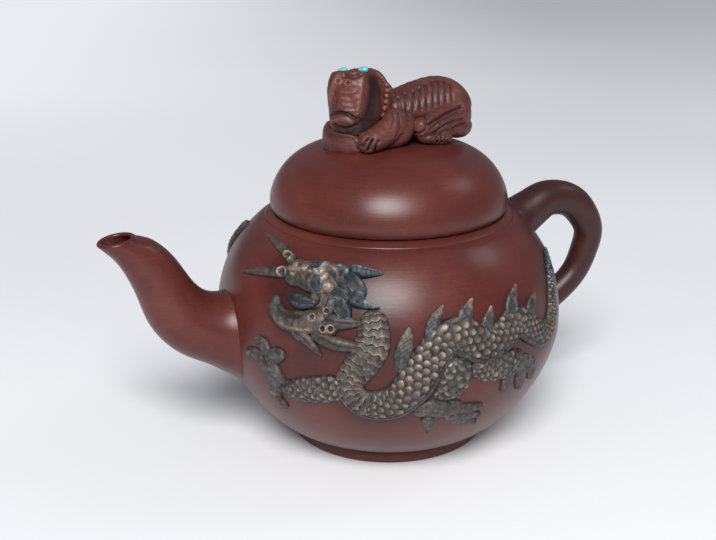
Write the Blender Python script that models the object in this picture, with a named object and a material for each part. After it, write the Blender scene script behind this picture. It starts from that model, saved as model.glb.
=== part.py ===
"""Chinese teapot of unglazed red-brown clay, with a tiger on its lid and a dragon on each side.

Lengths are in metres. The spout points to -X, the handle to +X and the table is z = 0.
The body, lid, foot and rim are turned about one upright axis, pot_axis.
Raised pieces are placed on the body by two shares: how far round it from the spout (0) to the
handle (1), and how far up it from the table (0) to the rim (1).
"""
import bpy
import bmesh
from math import atan2, cos, hypot, pi, radians, sin, sqrt
from mathutils import Matrix, Vector

# Body
body_radius = 0.065
belly_height = 0.0449
base_height = 0.005
base_radius = 0.03605
rim_height = 0.088
rim_thickness = 0.002
neck_radius = 0.0427
body_wall = 0.004
belly_low_rise = 1.345
belly_low_swell = 1.244
belly_high_rise = 0.808
belly_high_swell = 1.6

# Mouth, foot and lid
mouth_radius = 0.0362
rim_outer_radius = 0.0462
rim_top_radius = 0.0436
rim_edge_drop = 0.0007
foot_radius = 0.0372
foot_top_radius = 0.0363
foot_inner_radius = 0.0315
foot_edge = 0.0008
lid_radius = 0.0442
lid_seat_radius = 0.0429
lid_edge_rise = 0.0036
lid_height = 0.0248
lid_dome_rise = 1.206
lid_low_out_share = 0.75
lid_low_up_share = 0.35
lid_wall = 0.0042
lid_well_radius = 0.0305
flange_radius = 0.0356
flange_inner_radius = 0.0322
flange_length = 0.0075
flange_lead = 0.0008
vent_radius = 0.00125
vent_reach = 0.0095

# Spout and its sieve
spout_reach = 0.1085
lip_radius = 0.0069
lip_tilt = radians(9.2)
lip_wall = 0.0018
lip_level_share = 0.975
spout_root_radius = 0.0152
spout_wall = 0.0032
outlet_radius = 0.0085
outlet_height = 0.0465
sieve_thickness = 0.0028
sieve_hole_radius = 0.00145
sieve_ring_radius = 0.0048
sieve_ring_holes = 6

# Handle
handle_reach = 0.0928
handle_top_height = 0.0913
handle_root_radius = 0.0083
handle_end_radius = 0.0052

# Clay joints
gap = 0.0003
overrun = 0.002

# Raised work
coil_half_width = 0.0072
coil_height = 0.0028
head_half_span = 0.0062
head_height = 0.0040
mane_half_width = 0.0044
mane_height = 0.0046
jaw_half_width = 0.0042
jaw_height = 0.0034
tongue_half_width = 0.0024
tongue_height = 0.0024
beard_half_width = 0.0021
beard_height = 0.0023
leaf_half_width = 0.0027
leaf_height = 0.0032
horn_half_width = 0.0022
horn_height = 0.0036
whisker_half_width = 0.0021
whisker_height = 0.0025
fin_half_width = 0.0033
fin_height = 0.0018
limb_half_width = 0.0063
limb_height = 0.0026
edge_share = 0.35
thin_share = 0.25
crown_shares = (1, 0.6, 0, -0.6, -1)
claw_lift = 0.0001

# Tiger
tiger_height = 0.0275
tiger_reach = 0.0330
tiger_turn = radians(10)
head_turn = radians(30)
head_tilt = radians(-7)
tiger_half_width = 0.0110
head_half_width = 0.0106
head_half_depth = 0.0090
ruff_thickness = 0.0030
tail_radius = 0.0019
eye_half_length = 0.0021
eye_half_depth = 0.0017
eye_level_share = 0.965
eye_half_height = 0.0012
eye_ahead_share = 0.06
eye_apart_share = 0.39
ruff_section_shares = ((0, 0.95), (0.4, 1), (1, 0.97))
ruff_half_width = 0.0106
ruff_half_height = 0.0105
ruff_middle_share = 0.60
ruff_start_share = 0.55

# Counts
turned_steps = 40
ring_steps = 36
ruff_steps = 16
tube_steps = 16
handle_rings = 20
coil_rings = 58
limb_rings = 9

axis_x = (spout_reach - handle_reach) / 2
shoulder_height = rim_height - rim_thickness
lid_belly_height = rim_height + lid_edge_rise
lid_top_height = rim_height + lid_height


def clear_scene():
    for item in list(bpy.data.objects):
        bpy.data.objects.remove(item, do_unlink=True)


def make_material(name, colour, roughness, metallic):
    material = bpy.data.materials.new(name)
    material.use_nodes = True
    shader = material.node_tree.nodes["Principled BSDF"]
    shader.inputs["Base Color"].default_value = (*colour, 1)
    shader.inputs["Roughness"].default_value = roughness
    shader.inputs["Metallic"].default_value = metallic
    material.diffuse_color = (*colour, 1)
    return material


def make_empty(name, place, turn=0, parent=None):
    empty = bpy.data.objects.new(name, None)
    empty.location = place
    empty.rotation_euler.z = turn
    empty.parent = parent
    bpy.context.collection.objects.link(empty)
    return empty


def make_object(name, bm, material, parent, cutter=False):
    """Turn a bmesh into a named object. A cutter only shapes other pieces."""
    bmesh.ops.recalc_face_normals(bm, faces=bm.faces)
    mesh = bpy.data.meshes.new(name)
    bm.to_mesh(mesh)
    bm.free()
    mesh.shade_smooth()
    mesh.set_sharp_from_angle(angle=radians(40))
    mesh.materials.append(material)
    item = bpy.data.objects.new(name, mesh)
    item.parent = parent
    bpy.context.collection.objects.link(item)
    if cutter:
        item.hide_render = True
        item.display_type = "WIRE"
    return item


def combine(item, others, operation, crossing=False):
    """Join or cut an item with others. The option crossing is for others that cross themselves."""
    for other in others:
        step = item.modifiers.new(operation.lower(), "BOOLEAN")
        step.operation = operation
        step.solver = "EXACT"
        step.use_self = crossing
        step.object = other


def blend(points, count):
    """Read count points from a smooth curve through the given points."""
    result = []
    last = len(points) - 1
    for index in range(count):
        place = index * last / (count - 1)
        start = min(int(place), last - 1)
        t = place - start
        p0 = points[max(start - 1, 0)]
        p1 = points[start]
        p2 = points[start + 1]
        p3 = points[min(start + 2, last)]
        row = []
        for a, b, c, d in zip(p0, p1, p2, p3):
            near = (c - a) / 2
            far = (d - b) / 2
            bend = 3 * (c - b) - 2 * near - far
            turn = near + far - 2 * (c - b)
            row.append(b + t * (near + t * (bend + t * turn)))
        result.append(row)
    return result


def turned(profile, steps, closed=True):
    """Spin a profile of (radius, height) points about the pot's axis."""
    bm = bmesh.new()
    corners = [bm.verts.new((radius, 0, height)) for radius, height in profile]
    edges = [bm.edges.new(pair) for pair in zip(corners, corners[1:])]
    if closed:
        edges.append(bm.edges.new((corners[-1], corners[0])))
    bmesh.ops.spin(bm, geom=corners + edges, cent=(0, 0, 0), axis=(0, 0, 1),
                   angle=2 * pi, steps=steps, use_merge=True)
    bmesh.ops.remove_doubles(bm, verts=bm.verts, dist=gap / 100)
    return bm


def loft(rings, joined_ends=False):
    """Skin a row of rings that have equal counts of points."""
    bm = bmesh.new()
    rows = [[bm.verts.new(point) for point in ring] for ring in rings]
    pairs = list(zip(rows, rows[1:]))
    if joined_ends:
        pairs.append((rows[-1], rows[0]))
    else:
        bm.faces.new(rows[0])
        bm.faces.new(rows[-1])
    for low, high in pairs:
        for index, corner in enumerate(low):
            follow = (index + 1) % len(low)
            bm.faces.new((corner, low[follow], high[follow], high[index]))
    return bm


def body_radius_at(height):
    """Outer radius of the round body at a height above the table."""
    if height < belly_height:
        level = (belly_height - height) / (belly_height - base_height)
        lean = min(max(level, 0), 1) ** (1 / belly_low_rise)
        swell = sqrt(max(1 - lean * lean, 0)) ** belly_low_swell
        return base_radius + (body_radius - base_radius) * swell
    level = (height - belly_height) / (rim_height - belly_height)
    lean = min(max(level, 0), 1) ** (1 / belly_high_rise)
    swell = sqrt(max(1 - lean * lean, 0)) ** belly_high_swell
    return neck_radius + (body_radius - neck_radius) * swell


def body_outline(low, high, offset, count):
    """Points of the body's outline, closer together near the base where it turns fast."""
    points = []
    for index in range(count + 1):
        share = 1 - cos(index / count * pi / 2)
        height = low + (high - low) * share
        points.append((body_radius_at(height) + offset, height))
    return points


def dome_outline(offset, count):
    """The lid's dome from its widest point to its top, offset along its radius and height."""
    points = []
    rise = lid_top_height - lid_belly_height
    for index in range(count):
        lean = index / count * pi / 2
        radius = (lid_radius + offset) * sqrt(cos(lean))
        height = lid_belly_height + (rise + offset) * sin(lean) ** lid_dome_rise
        points.append((radius, height))
    points.append((0, lid_top_height + offset))
    return points


def on_body(along, up, lift):
    """A point at two shares on the body, lifted off its wall."""
    height = up * rim_height
    turn = (along - 1) * pi
    probe = rim_height / 400
    slope = (body_radius_at(height + probe) - body_radius_at(height - probe)) / (2 * probe)
    normal = Vector((cos(turn), sin(turn), -slope)).normalized()
    radius = body_radius_at(height)
    return Vector((radius * cos(turn), radius * sin(turn), height)) + normal * lift


def beside_on_body(centre, offset, lift):
    """The wall point under centre + offset, lifted off the wall."""
    point = centre + offset
    along = 1 + atan2(point.y, point.x) / pi
    return on_body(along, point.z / rim_height, lift)


def raised_strip(stations, half_width, height, count, grow=0, lift=gap):
    """A domed strip of clay that follows the wall and thins out where it narrows.

    A station is (along, up, share of the half width).
    """
    rows = blend(stations, count)
    floor = -overrun if grow else lift
    rings = []
    for index, (along, up, width_share) in enumerate(rows):
        before = rows[max(index - 1, 0)]
        after = rows[min(index + 1, count - 1)]
        centre = on_body(along, up, 0)
        ahead = on_body(after[0], after[1], 0) - on_body(before[0], before[1], 0)
        outward = on_body(along, up, height) - centre
        across_way = outward.cross(ahead).normalized() * (width_share * half_width + grow)
        crown = height * (thin_share + (1 - thin_share) * width_share)
        ring = [beside_on_body(centre, across_way * t, floor) for t in (-1, 0, 1)]
        for t in crown_shares:
            level = crown * (edge_share + (1 - edge_share) * sqrt(1 - t * t)) + grow
            ring.append(beside_on_body(centre, across_way * t, lift + level))
        rings.append(ring)
    return loft(rings)


def swept(stations, count, steps, grow=0, side_way=(0, 1, 0)):
    """A rounded body along stations of (x, y, z, half width, half height)."""
    rows = blend(stations, count)
    rings = []
    for index, (x, y, z, wide, high) in enumerate(rows):
        before = Vector(rows[max(index - 1, 0)][:3])
        after = Vector(rows[min(index + 1, count - 1)][:3])
        ahead = (after - before).normalized()
        up = ahead.cross(Vector(side_way)).normalized()
        across = up.cross(ahead).normalized()
        ring = []
        for step in range(steps):
            turn = 2 * pi * step / steps
            aside = across * (wide + grow) * cos(turn)
            ring.append(Vector((x, y, z)) + aside + up * (high + grow) * sin(turn))
        rings.append(ring)
    return loft(rings)


clear_scene()

clay = make_material("red_clay", (0.150, 0.048, 0.036), 0.42, 0)
clay_dark = make_material("tiger_clay", (0.115, 0.038, 0.031), 0.46, 0)
slip = make_material("bronze_slip", (0.165, 0.135, 0.098), 0.5, 0.25)
crest_slip = make_material("crest_slip", (0.032, 0.042, 0.058), 0.42, 0.2)
turquoise = make_material("turquoise", (0.16, 0.58, 0.66), 0.3, 0)

pot_axis = make_empty("pot_axis", (axis_x, 0, 0))
lid_axis = make_empty("lid_axis", (axis_x, 0, 0))
tiger_axis = make_empty("tiger_axis", (0, 0, lid_top_height), tiger_turn, lid_axis)

# Cutters with the outer form of the body and of the lid, a joint's width larger
body_form = body_outline(base_height, shoulder_height, gap, 14)
body_form = [(0, base_height - gap)] + body_form + [(0, shoulder_height + gap)]
body_cutter = make_object("body_cutter", turned(body_form, turned_steps, False), clay, pot_axis, True)

lid_form = [(0, rim_height)] + dome_outline(gap, 11)
lid_cutter = make_object("lid_cutter", turned(lid_form, turned_steps, False), clay, lid_axis, True)


# Body: a thrown ball with a flat base, a mouth and one outlet behind the spout
def make_body():
    outer = body_outline(base_height, shoulder_height, 0, 14)
    floor_top = base_height + body_wall
    inner_top = shoulder_height - body_wall
    count = 8
    inner = []
    for index in range(count):
        height = inner_top + (floor_top - inner_top) * index / (count - 1)
        inner.append((body_radius_at(height) - body_wall, height))
    inner[-1] = (base_radius, floor_top)
    mouth = [(mouth_radius, shoulder_height), (mouth_radius, inner_top)]
    profile = [(0, base_height)] + outer + mouth + inner + [(0, floor_top)]
    body = make_object("pot_body", turned(profile, turned_steps, False), clay, pot_axis)
    drill = bmesh.new()
    reach = body_radius + overrun
    inward = reach - body_radius / 2
    place = Matrix.Translation((-reach + inward / 2, 0, outlet_height)) @ Matrix.Rotation(pi / 2, 4, "Y")
    bmesh.ops.create_cone(drill, cap_ends=True, segments=tube_steps, radius1=outlet_radius,
                          radius2=outlet_radius, depth=inward, matrix=place)
    combine(body, [make_object("outlet_drill", drill, clay, pot_axis, True)], "DIFFERENCE")


def make_rim():
    top = rim_height - gap / 2
    bottom = shoulder_height + gap
    profile = [
        (mouth_radius, bottom),
        (rim_outer_radius - rim_edge_drop, bottom),
        (rim_outer_radius, bottom + rim_edge_drop),
        ((rim_outer_radius + rim_top_radius) / 2, top - rim_edge_drop / 2),
        (rim_top_radius, top),
        (mouth_radius, top),
    ]
    make_object("mouth_rim", turned(profile, ring_steps), clay, pot_axis)


def make_foot():
    top = base_height - gap
    profile = [
        (foot_inner_radius + foot_edge, 0),
        (foot_radius - foot_edge, 0),
        (foot_radius, foot_edge),
        (foot_top_radius, top),
        (foot_inner_radius, top),
        (foot_inner_radius, foot_edge),
    ]
    make_object("foot_ring", turned(profile, ring_steps), clay, pot_axis)


# Spout: a curved tapering tube, stations as shares of its reach and of the rim's height
spout_shares = [
    (0.470, 0.485, 1.02, 68),
    (0.540, 0.515, 0.97, 68),
    (0.614, 0.551, 0.80, 66),
    (0.705, 0.600, 0.64, 56),
    (0.768, 0.684, 0.49, 38),
    (0.826, 0.832, 0.26, 33),
    (0.880, 0.925, 0.08, 25),
]


def spout_rings(root_radius, tip_radius, count):
    lip_centre = spout_reach - lip_radius * cos(lip_tilt)
    stations = []
    for reach_share, rise_share, radius_share, lean in spout_shares:
        radius = tip_radius + (root_radius - tip_radius) * radius_share
        stations.append((-spout_reach * reach_share, rim_height * rise_share, radius, radians(lean)))
    stations.append((-lip_centre, rim_height * lip_level_share, tip_radius, lip_tilt))
    rings = []
    for x, z, radius, lean in blend(stations, count):
        rise = Vector((cos(lean), 0, sin(lean)))
        ring = []
        for step in range(tube_steps):
            turn = 2 * pi * step / tube_steps
            ring.append(Vector((x, 0, z)) + rise * radius * cos(turn) + Vector((0, radius * sin(turn), 0)))
        rings.append(ring)
    return rings


def make_spout():
    outer = spout_rings(spout_root_radius, lip_radius, 12)
    inner = spout_rings(spout_root_radius - spout_wall, lip_radius - lip_wall, 10)
    spout = make_object("spout", loft(outer + inner[::-1], True), clay, pot_axis)
    combine(spout, [body_cutter], "DIFFERENCE")


def make_sieve():
    """A round clay sieve set in the outlet, a centre hole and a ring of holes."""
    bm = bmesh.new()
    x = -(body_radius - body_wall + sieve_thickness / 2)
    place = Matrix.Translation((x, 0, outlet_height)) @ Matrix.Rotation(pi / 2, 4, "Y")
    radius = outlet_radius - gap
    bmesh.ops.create_cone(bm, cap_ends=True, segments=tube_steps, radius1=radius, radius2=radius,
                          depth=sieve_thickness, matrix=place)
    sieve = make_object("spout_sieve", bm, clay, pot_axis)
    drill = bmesh.new()
    turns = [2 * pi * index / sieve_ring_holes for index in range(sieve_ring_holes)]
    centres = [(0, 0)] + [(sieve_ring_radius * cos(t), sieve_ring_radius * sin(t)) for t in turns]
    for y, z in centres:
        hole = Matrix.Translation((x, y, outlet_height + z)) @ Matrix.Rotation(pi / 2, 4, "Y")
        bmesh.ops.create_cone(drill, cap_ends=True, segments=6, radius1=sieve_hole_radius,
                              radius2=sieve_hole_radius, depth=sieve_thickness + overrun, matrix=hole)
    combine(sieve, [make_object("sieve_drill", drill, clay, pot_axis, True)], "DIFFERENCE")


# Handle: a loop of round section, stations as shares of its reach, its top height and its taper
handle_shares = [
    (0.480, 0.795, 1.05),
    (0.556, 0.832, 1.00),
    (0.640, 0.880, 0.86),
    (0.722, 0.922, 0.62),
    (0.816, 0.912, 0.48),
    (0.887, 0.859, 0.36),
    (0.938, 0.763, 0.16),
    (0.920, 0.660, 0.08),
    (0.876, 0.566, 0.00),
    (0.795, 0.488, 0.00),
    (0.690, 0.425, 0.05),
    (0.600, 0.385, 0.10),
]


def handle_stations():
    stations = []
    for reach_share, rise_share, taper_share in handle_shares:
        radius = handle_end_radius + (handle_root_radius - handle_end_radius) * taper_share
        stations.append((handle_reach * reach_share, 0, handle_top_height * rise_share, radius, radius))
    return stations


handle_grown = swept(handle_stations(), handle_rings, 12, gap)
handle_cutter = make_object("handle_cutter", handle_grown, clay, pot_axis, True)


def make_handle():
    handle = make_object("handle", swept(handle_stations(), handle_rings, 12), clay, pot_axis)
    combine(handle, [body_cutter], "DIFFERENCE")


# Lid: a hollow cushion dome, with a vent under the tiger's belly and a flange that drops in the mouth
def make_lid():
    seat = rim_height + gap / 2
    dome = dome_outline(0, 11)
    low_radius = lid_seat_radius + (lid_radius - lid_seat_radius) * lid_low_out_share
    low_height = seat + (lid_belly_height - seat) * lid_low_up_share
    low = [(lid_seat_radius, seat), (low_radius, low_height)]
    inner = []
    rise = lid_top_height - lid_wall - lid_belly_height
    count = 6
    for index in range(count):
        lean = (1 - index / count) * pi / 2
        radius = (lid_radius - lid_wall) * sqrt(max(cos(lean), 0))
        inner.append((radius, lid_belly_height + rise * sin(lean) ** lid_dome_rise))
    inner[0] = (0, lid_top_height - lid_wall)
    well = [(lid_well_radius, lid_belly_height), (lid_well_radius, seat)]
    profile = dome[::-1] + low[::-1] + well[::-1] + inner[::-1]
    lid = make_object("lid_dome", turned(profile, turned_steps, False), clay, lid_axis)
    drill = bmesh.new()
    depth = lid_wall + 2 * overrun
    place = Matrix.Translation((vent_reach, 0, lid_top_height - lid_wall / 2))
    bmesh.ops.create_cone(drill, cap_ends=True, segments=10, radius1=vent_radius, radius2=vent_radius,
                          depth=depth, matrix=place)
    combine(lid, [make_object("vent_drill", drill, clay, lid_axis, True)], "DIFFERENCE")


def make_flange():
    top = rim_height - gap / 2
    profile = [
        (flange_inner_radius, top),
        (flange_radius, top),
        (flange_radius, top - flange_length + flange_lead),
        (flange_radius - flange_lead, top - flange_length),
        (flange_inner_radius + flange_lead, top - flange_length),
        (flange_inner_radius, top - flange_length + flange_lead),
    ]
    make_object("lid_flange", turned(profile, ring_steps), clay, lid_axis)


# Tiger: the knob of the lid, stations as shares of its reach, half width and height
def tiger_stations(shares):
    rows = []
    for x, y, z, wide, high in shares:
        rows.append((x * tiger_reach, y * tiger_half_width, z * tiger_height,
                     wide * tiger_half_width, high * tiger_height))
    return rows


torso_shares = [
    (-0.10, 0.10, 0.42, 0.50, 0.20),
    (0.02, 0.05, 0.42, 0.74, 0.24),
    (0.20, 0, 0.43, 0.86, 0.285),
    (0.42, 0, 0.45, 0.94, 0.325),
    (0.62, 0, 0.45, 0.98, 0.350),
    (0.76, 0, 0.39, 0.96, 0.340),
    (0.88, 0, 0.30, 0.80, 0.270),
    (0.95, 0, 0.23, 0.42, 0.170),
]
thigh_shares = [
    (0.86, -0.60, 0.30, 0.24, 0.14),
    (0.72, -0.80, 0.30, 0.36, 0.21),
    (0.50, -0.90, 0.265, 0.38, 0.19),
    (0.32, -0.95, 0.225, 0.32, 0.15),
    (0.17, -0.92, 0.22, 0.26, 0.13),
    (0.11, -0.90, 0.21, 0.14, 0.08),
]
hind_foot_shares = [
    (0.25, -0.95, 0.12, 0.24, 0.09),
    (0.34, -1.06, 0.075, 0.28, 0.09),
    (0.46, -1.08, 0.05, 0.28, 0.09),
    (0.56, -1.00, 0.045, 0.18, 0.06),
]
near_foreleg_shares = [
    (0.00, -0.55, 0.42, 0.22, 0.12),
    (-0.06, -0.74, 0.34, 0.34, 0.16),
    (-0.16, -0.86, 0.25, 0.38, 0.15),
    (-0.32, -0.93, 0.16, 0.38, 0.14),
    (-0.45, -0.92, 0.10, 0.36, 0.12),
    (-0.54, -0.88, 0.07, 0.22, 0.08),
]
far_foreleg_shares = [
    (-0.30, 0.86, 0.24, 0.20, 0.09),
    (-0.46, 0.84, 0.17, 0.30, 0.12),
    (-0.60, 0.66, 0.10, 0.32, 0.13),
    (-0.67, 0.30, 0.06, 0.30, 0.12),
    (-0.66, -0.15, 0.06, 0.29, 0.11),
    (-0.58, -0.55, 0.07, 0.28, 0.10),
    (-0.52, -0.72, 0.07, 0.18, 0.07),
]
tail_shares = [
    (0.84, 0.66, 0.13),
    (0.95, 0.34, 0.11),
    (0.99, -0.10, 0.09),
    (0.95, -0.52, 0.10),
    (0.87, -0.82, 0.15),
]
head_shares = [
    (-0.50, 0.155, 0.22, 0.30),
    (-0.48, 0.19, 0.42, 0.50),
    (-0.46, 0.25, 0.63, 0.68),
    (-0.44, 0.36, 0.89, 0.90),
    (-0.44, 0.60, 1.00, 1.00),
    (-0.43, 0.79, 0.98, 0.98),
    (-0.41, 0.91, 0.92, 0.88),
    (-0.40, 0.96, 0.80, 0.68),
]
head_pivot_share = -0.43


def head_rows():
    rows = []
    for x, z, wide, deep in head_shares:
        rows.append((x * tiger_reach, 0, z * tiger_height, wide * head_half_width, deep * head_half_depth))
    return rows


def head_turned(bm):
    """Turn a form towards the near side and tilt it a little about the neck."""
    pivot = Vector((head_pivot_share * tiger_reach, 0, tiger_height / 2))
    turn = Matrix.Rotation(head_turn, 4, "Z") @ Matrix.Rotation(head_tilt, 4, "X")
    turn = Matrix.Translation(pivot) @ turn @ Matrix.Translation(-pivot)
    bmesh.ops.transform(bm, matrix=turn, verts=bm.verts)
    return bm


def ruff_form(front, back, grow):
    """A round plate behind the face, from front to back of the head's own middle."""
    middle = tiger_height * ruff_middle_share
    rings = []
    for reach_share, share in ruff_section_shares:
        reach = front + (back - front) * reach_share
        ring = []
        for step in range(ruff_steps):
            turn = 2 * pi * step / ruff_steps
            y = (ruff_half_width + grow) * share * cos(turn)
            z = middle + (ruff_half_height + grow) * share * sin(turn)
            ring.append(Vector((head_pivot_share * tiger_reach + reach, y, z)))
        rings.append(ring)
    return head_turned(loft(rings))


def mirrored(shares):
    return [(x, -y, *rest) for x, y, *rest in shares]


def make_tiger():
    torso_rows = tiger_stations(torso_shares)
    torso_cutter = make_object("torso_cutter", swept(torso_rows, 13, 16, gap), clay_dark, tiger_axis, True)
    head_grown = head_turned(swept(head_rows(), 11, 16, gap))
    head_cutter = make_object("head_cutter", head_grown, clay_dark, tiger_axis, True)
    make_object("tiger_head", head_turned(swept(head_rows(), 11, 16)), clay_dark, tiger_axis)

    ruff_front = head_half_depth * ruff_start_share
    ruff_back = ruff_front + ruff_thickness
    ruff = make_object("tiger_ruff", ruff_form(ruff_front, ruff_back, 0), clay_dark, tiger_axis)
    combine(ruff, [head_cutter, lid_cutter], "DIFFERENCE")
    ruff_grown = ruff_form(ruff_front - gap, ruff_back + gap, gap)
    ruff_cutter = make_object("ruff_cutter", ruff_grown, clay_dark, tiger_axis, True)
    neck_form = ruff_form(-head_half_depth, ruff_back + gap, overrun)
    neck_cutter = make_object("neck_cutter", neck_form, clay_dark, tiger_axis, True)

    torso = make_object("tiger_body", swept(torso_rows, 13, 16), clay_dark, tiger_axis)
    combine(torso, [neck_cutter, lid_cutter], "DIFFERENCE")

    thigh_cutters = []
    for side_name, flip in (("near", False), ("far", True)):
        thigh = tiger_stations(mirrored(thigh_shares) if flip else thigh_shares)
        foot = tiger_stations(mirrored(hind_foot_shares) if flip else hind_foot_shares)
        leg = make_object("tiger_hind_leg_" + side_name, swept(thigh, 7, 10), clay_dark, tiger_axis)
        paw = make_object("paw_form_" + side_name, swept(foot, 6, 8), clay_dark, tiger_axis, True)
        combine(leg, [paw], "UNION")
        combine(leg, [torso_cutter, lid_cutter], "DIFFERENCE")
        thigh_grown = swept(thigh, 7, 10, gap)
        thigh_cutter = make_object("thigh_cutter_" + side_name, thigh_grown, clay_dark, tiger_axis, True)
        thigh_cutters.append(thigh_cutter)

    near_rows = tiger_stations(near_foreleg_shares)
    near = make_object("tiger_foreleg_near", swept(near_rows, 8, 10), clay_dark, tiger_axis)
    combine(near, [torso_cutter, ruff_cutter, head_cutter, lid_cutter], "DIFFERENCE")
    near_cutter = make_object("foreleg_cutter", swept(near_rows, 8, 10, gap), clay_dark, tiger_axis, True)
    far_rows = tiger_stations(far_foreleg_shares)
    far = make_object("tiger_foreleg_far", swept(far_rows, 11, 10, 0, (0, 0, 1)), clay_dark, tiger_axis)
    combine(far, [head_cutter, ruff_cutter, near_cutter, lid_cutter], "DIFFERENCE")

    tail_rows = [(x * tiger_reach, y * tiger_half_width, z * tiger_height, tail_radius, tail_radius)
                 for x, y, z in tail_shares]
    tail = make_object("tiger_tail", swept(tail_rows, 10, 8, 0, (0, 0, 1)), clay_dark, tiger_axis)
    combine(tail, [torso_cutter, lid_cutter] + thigh_cutters, "DIFFERENCE")

    for name, way in (("tiger_eye_near", -1), ("tiger_eye_far", 1)):
        bm = bmesh.new()
        bmesh.ops.create_uvsphere(bm, u_segments=10, v_segments=6, radius=1)
        size = Matrix.Diagonal((eye_half_depth, eye_half_length, eye_half_height, 1))
        x = head_pivot_share * tiger_reach - eye_ahead_share * head_half_depth
        y = way * eye_apart_share * head_half_width
        place = Matrix.Translation((x, y, eye_level_share * tiger_height))
        bmesh.ops.transform(bm, matrix=place @ size, verts=bm.verts)
        eye = make_object(name, head_turned(bm), turquoise, tiger_axis)
        combine(eye, [head_cutter], "DIFFERENCE")


# Dragon: each row is (along, up, share of the half width)
coil_path_shares = [
    (0.346, 0.790, 0.61), (0.352, 0.720, 0.75), (0.349, 0.655, 0.86), (0.334, 0.590, 0.83),
    (0.315, 0.520, 0.72), (0.318, 0.458, 0.72), (0.341, 0.415, 0.86), (0.372, 0.414, 0.94),
    (0.400, 0.447, 0.97), (0.425, 0.520, 1.00), (0.447, 0.600, 0.97), (0.466, 0.656, 0.89),
    (0.488, 0.680, 0.92), (0.512, 0.664, 0.94), (0.537, 0.630, 0.92), (0.561, 0.626, 0.86),
    (0.585, 0.648, 0.86), (0.607, 0.676, 0.83), (0.630, 0.676, 0.78), (0.656, 0.632, 0.75),
    (0.690, 0.588, 0.69), (0.722, 0.592, 0.61),
]
front_tail_shares = [
    (0.740, 0.632, 0.54), (0.755, 0.695, 0.47), (0.776, 0.757, 0.39),
    (0.808, 0.812, 0.28), (0.846, 0.838, 0.08),
]
back_tail_shares = [
    (0.750, 0.640, 0.56), (0.784, 0.706, 0.53), (0.818, 0.774, 0.50),
    (0.842, 0.840, 0.47), (0.848, 0.912, 0.28),
]
head_path_shares = [
    (0.160, 0.902, 0.35), (0.180, 0.888, 0.71), (0.206, 0.880, 0.90), (0.232, 0.884, 1.00),
    (0.258, 0.880, 1.00), (0.282, 0.868, 0.87),
]
mane_path_shares = [
    (0.276, 0.925, 0.36), (0.296, 0.902, 0.82), (0.306, 0.866, 1.00),
    (0.300, 0.826, 0.91), (0.293, 0.785, 0.41),
]
jaw_path_shares = [
    (0.166, 0.792, 0.29), (0.165, 0.748, 0.71), (0.190, 0.716, 0.86), (0.220, 0.716, 0.90),
    (0.250, 0.730, 1.00), (0.272, 0.752, 0.76),
]
tongue_path_shares = [(0.183, 0.806, 0.33), (0.207, 0.790, 1.00), (0.230, 0.788, 1.00), (0.250, 0.796, 0.50)]
beard_path_shares = [(0.200, 0.690, 0.48), (0.222, 0.672, 1.00), (0.242, 0.652, 0.90), (0.265, 0.603, 0.19)]
upper_leaf_path_shares = [
    (0.266, 0.742, 0.74), (0.286, 0.738, 1.00), (0.312, 0.740, 0.74), (0.339, 0.743, 0.15),
]
lower_leaf_path_shares = [
    (0.246, 0.690, 0.74), (0.276, 0.668, 0.93), (0.305, 0.656, 0.81), (0.349, 0.650, 0.15),
]
horn_path_shares = {
    "upper_horn": [(0.292, 0.914, 0.95), (0.312, 0.912, 1.00), (0.334, 0.911, 0.71), (0.361, 0.913, 0.19)],
    "lower_horn": [(0.298, 0.828, 0.95), (0.316, 0.819, 0.95), (0.334, 0.809, 0.62), (0.357, 0.802, 0.19)],
}
whisker_path_shares = {
    "upper_whisker": [(0.17, 0.912, 0.76), (0.146, 0.925, 0.86), (0.1, 0.944, 0.67), (0.035, 0.958, 0.19)],
    "lower_whisker": [(0.176, 0.874, 0.86), (0.146, 0.866, 1), (0.101, 0.847, 0.76), (0.041, 0.818, 0.19)],
}
fin_path_shares = {
    "neck_fin": [(0.396, 0.556, 0.48), (0.400, 0.628, 0.91), (0.408, 0.690, 0.67), (0.412, 0.730, 0.12)],
    "back_fin_a": [(0.446, 0.690, 0.85), (0.455, 0.744, 0.73), (0.465, 0.776, 0.42), (0.474, 0.799, 0.12)],
    "back_fin_b": [(0.505, 0.715, 1.00), (0.513, 0.752, 0.88), (0.521, 0.780, 0.52), (0.532, 0.808, 0.12)],
    "back_fin_c": [(0.549, 0.680, 0.85), (0.556, 0.715, 0.79), (0.562, 0.742, 0.48), (0.568, 0.770, 0.12)],
    "back_fin_d": [(0.606, 0.720, 0.91), (0.616, 0.758, 0.85), (0.627, 0.786, 0.52), (0.640, 0.815, 0.12)],
    "back_fin_e": [(0.653, 0.690, 0.79), (0.667, 0.719, 0.76), (0.677, 0.738, 0.52), (0.687, 0.756, 0.15)],
}
foreleg_shares = [
    [(0.3, 0.49, 0.74), (0.27, 0.466, 0.84), (0.236, 0.446, 0.81), (0.206, 0.43, 0.68), (0.186, 0.422, 0.42)],
    [
        (0.190, 0.41, 0.45), (0.176, 0.450, 0.65), (0.162, 0.502, 0.70),
        (0.152, 0.544, 0.62), (0.147, 0.564, 0.32),
    ],
    [(0.152, 0.528, 0.29), (0.124, 0.538, 0.38), (0.101, 0.530, 0.32)],
    [(0.156, 0.548, 0.39), (0.147, 0.591, 0.40), (0.128, 0.612, 0.18)],
    [(0.160, 0.530, 0.39), (0.177, 0.564, 0.50), (0.196, 0.572, 0.29)],
    [(0.172, 0.436, 0.44), (0.160, 0.376, 0.42), (0.177, 0.316, 0.17)],
]
thigh_path_shares = [
    (0.486, 0.600, 0.58), (0.490, 0.540, 1.00), (0.484, 0.480, 0.90),
    (0.472, 0.432, 0.74), (0.464, 0.404, 0.50),
]
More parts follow.
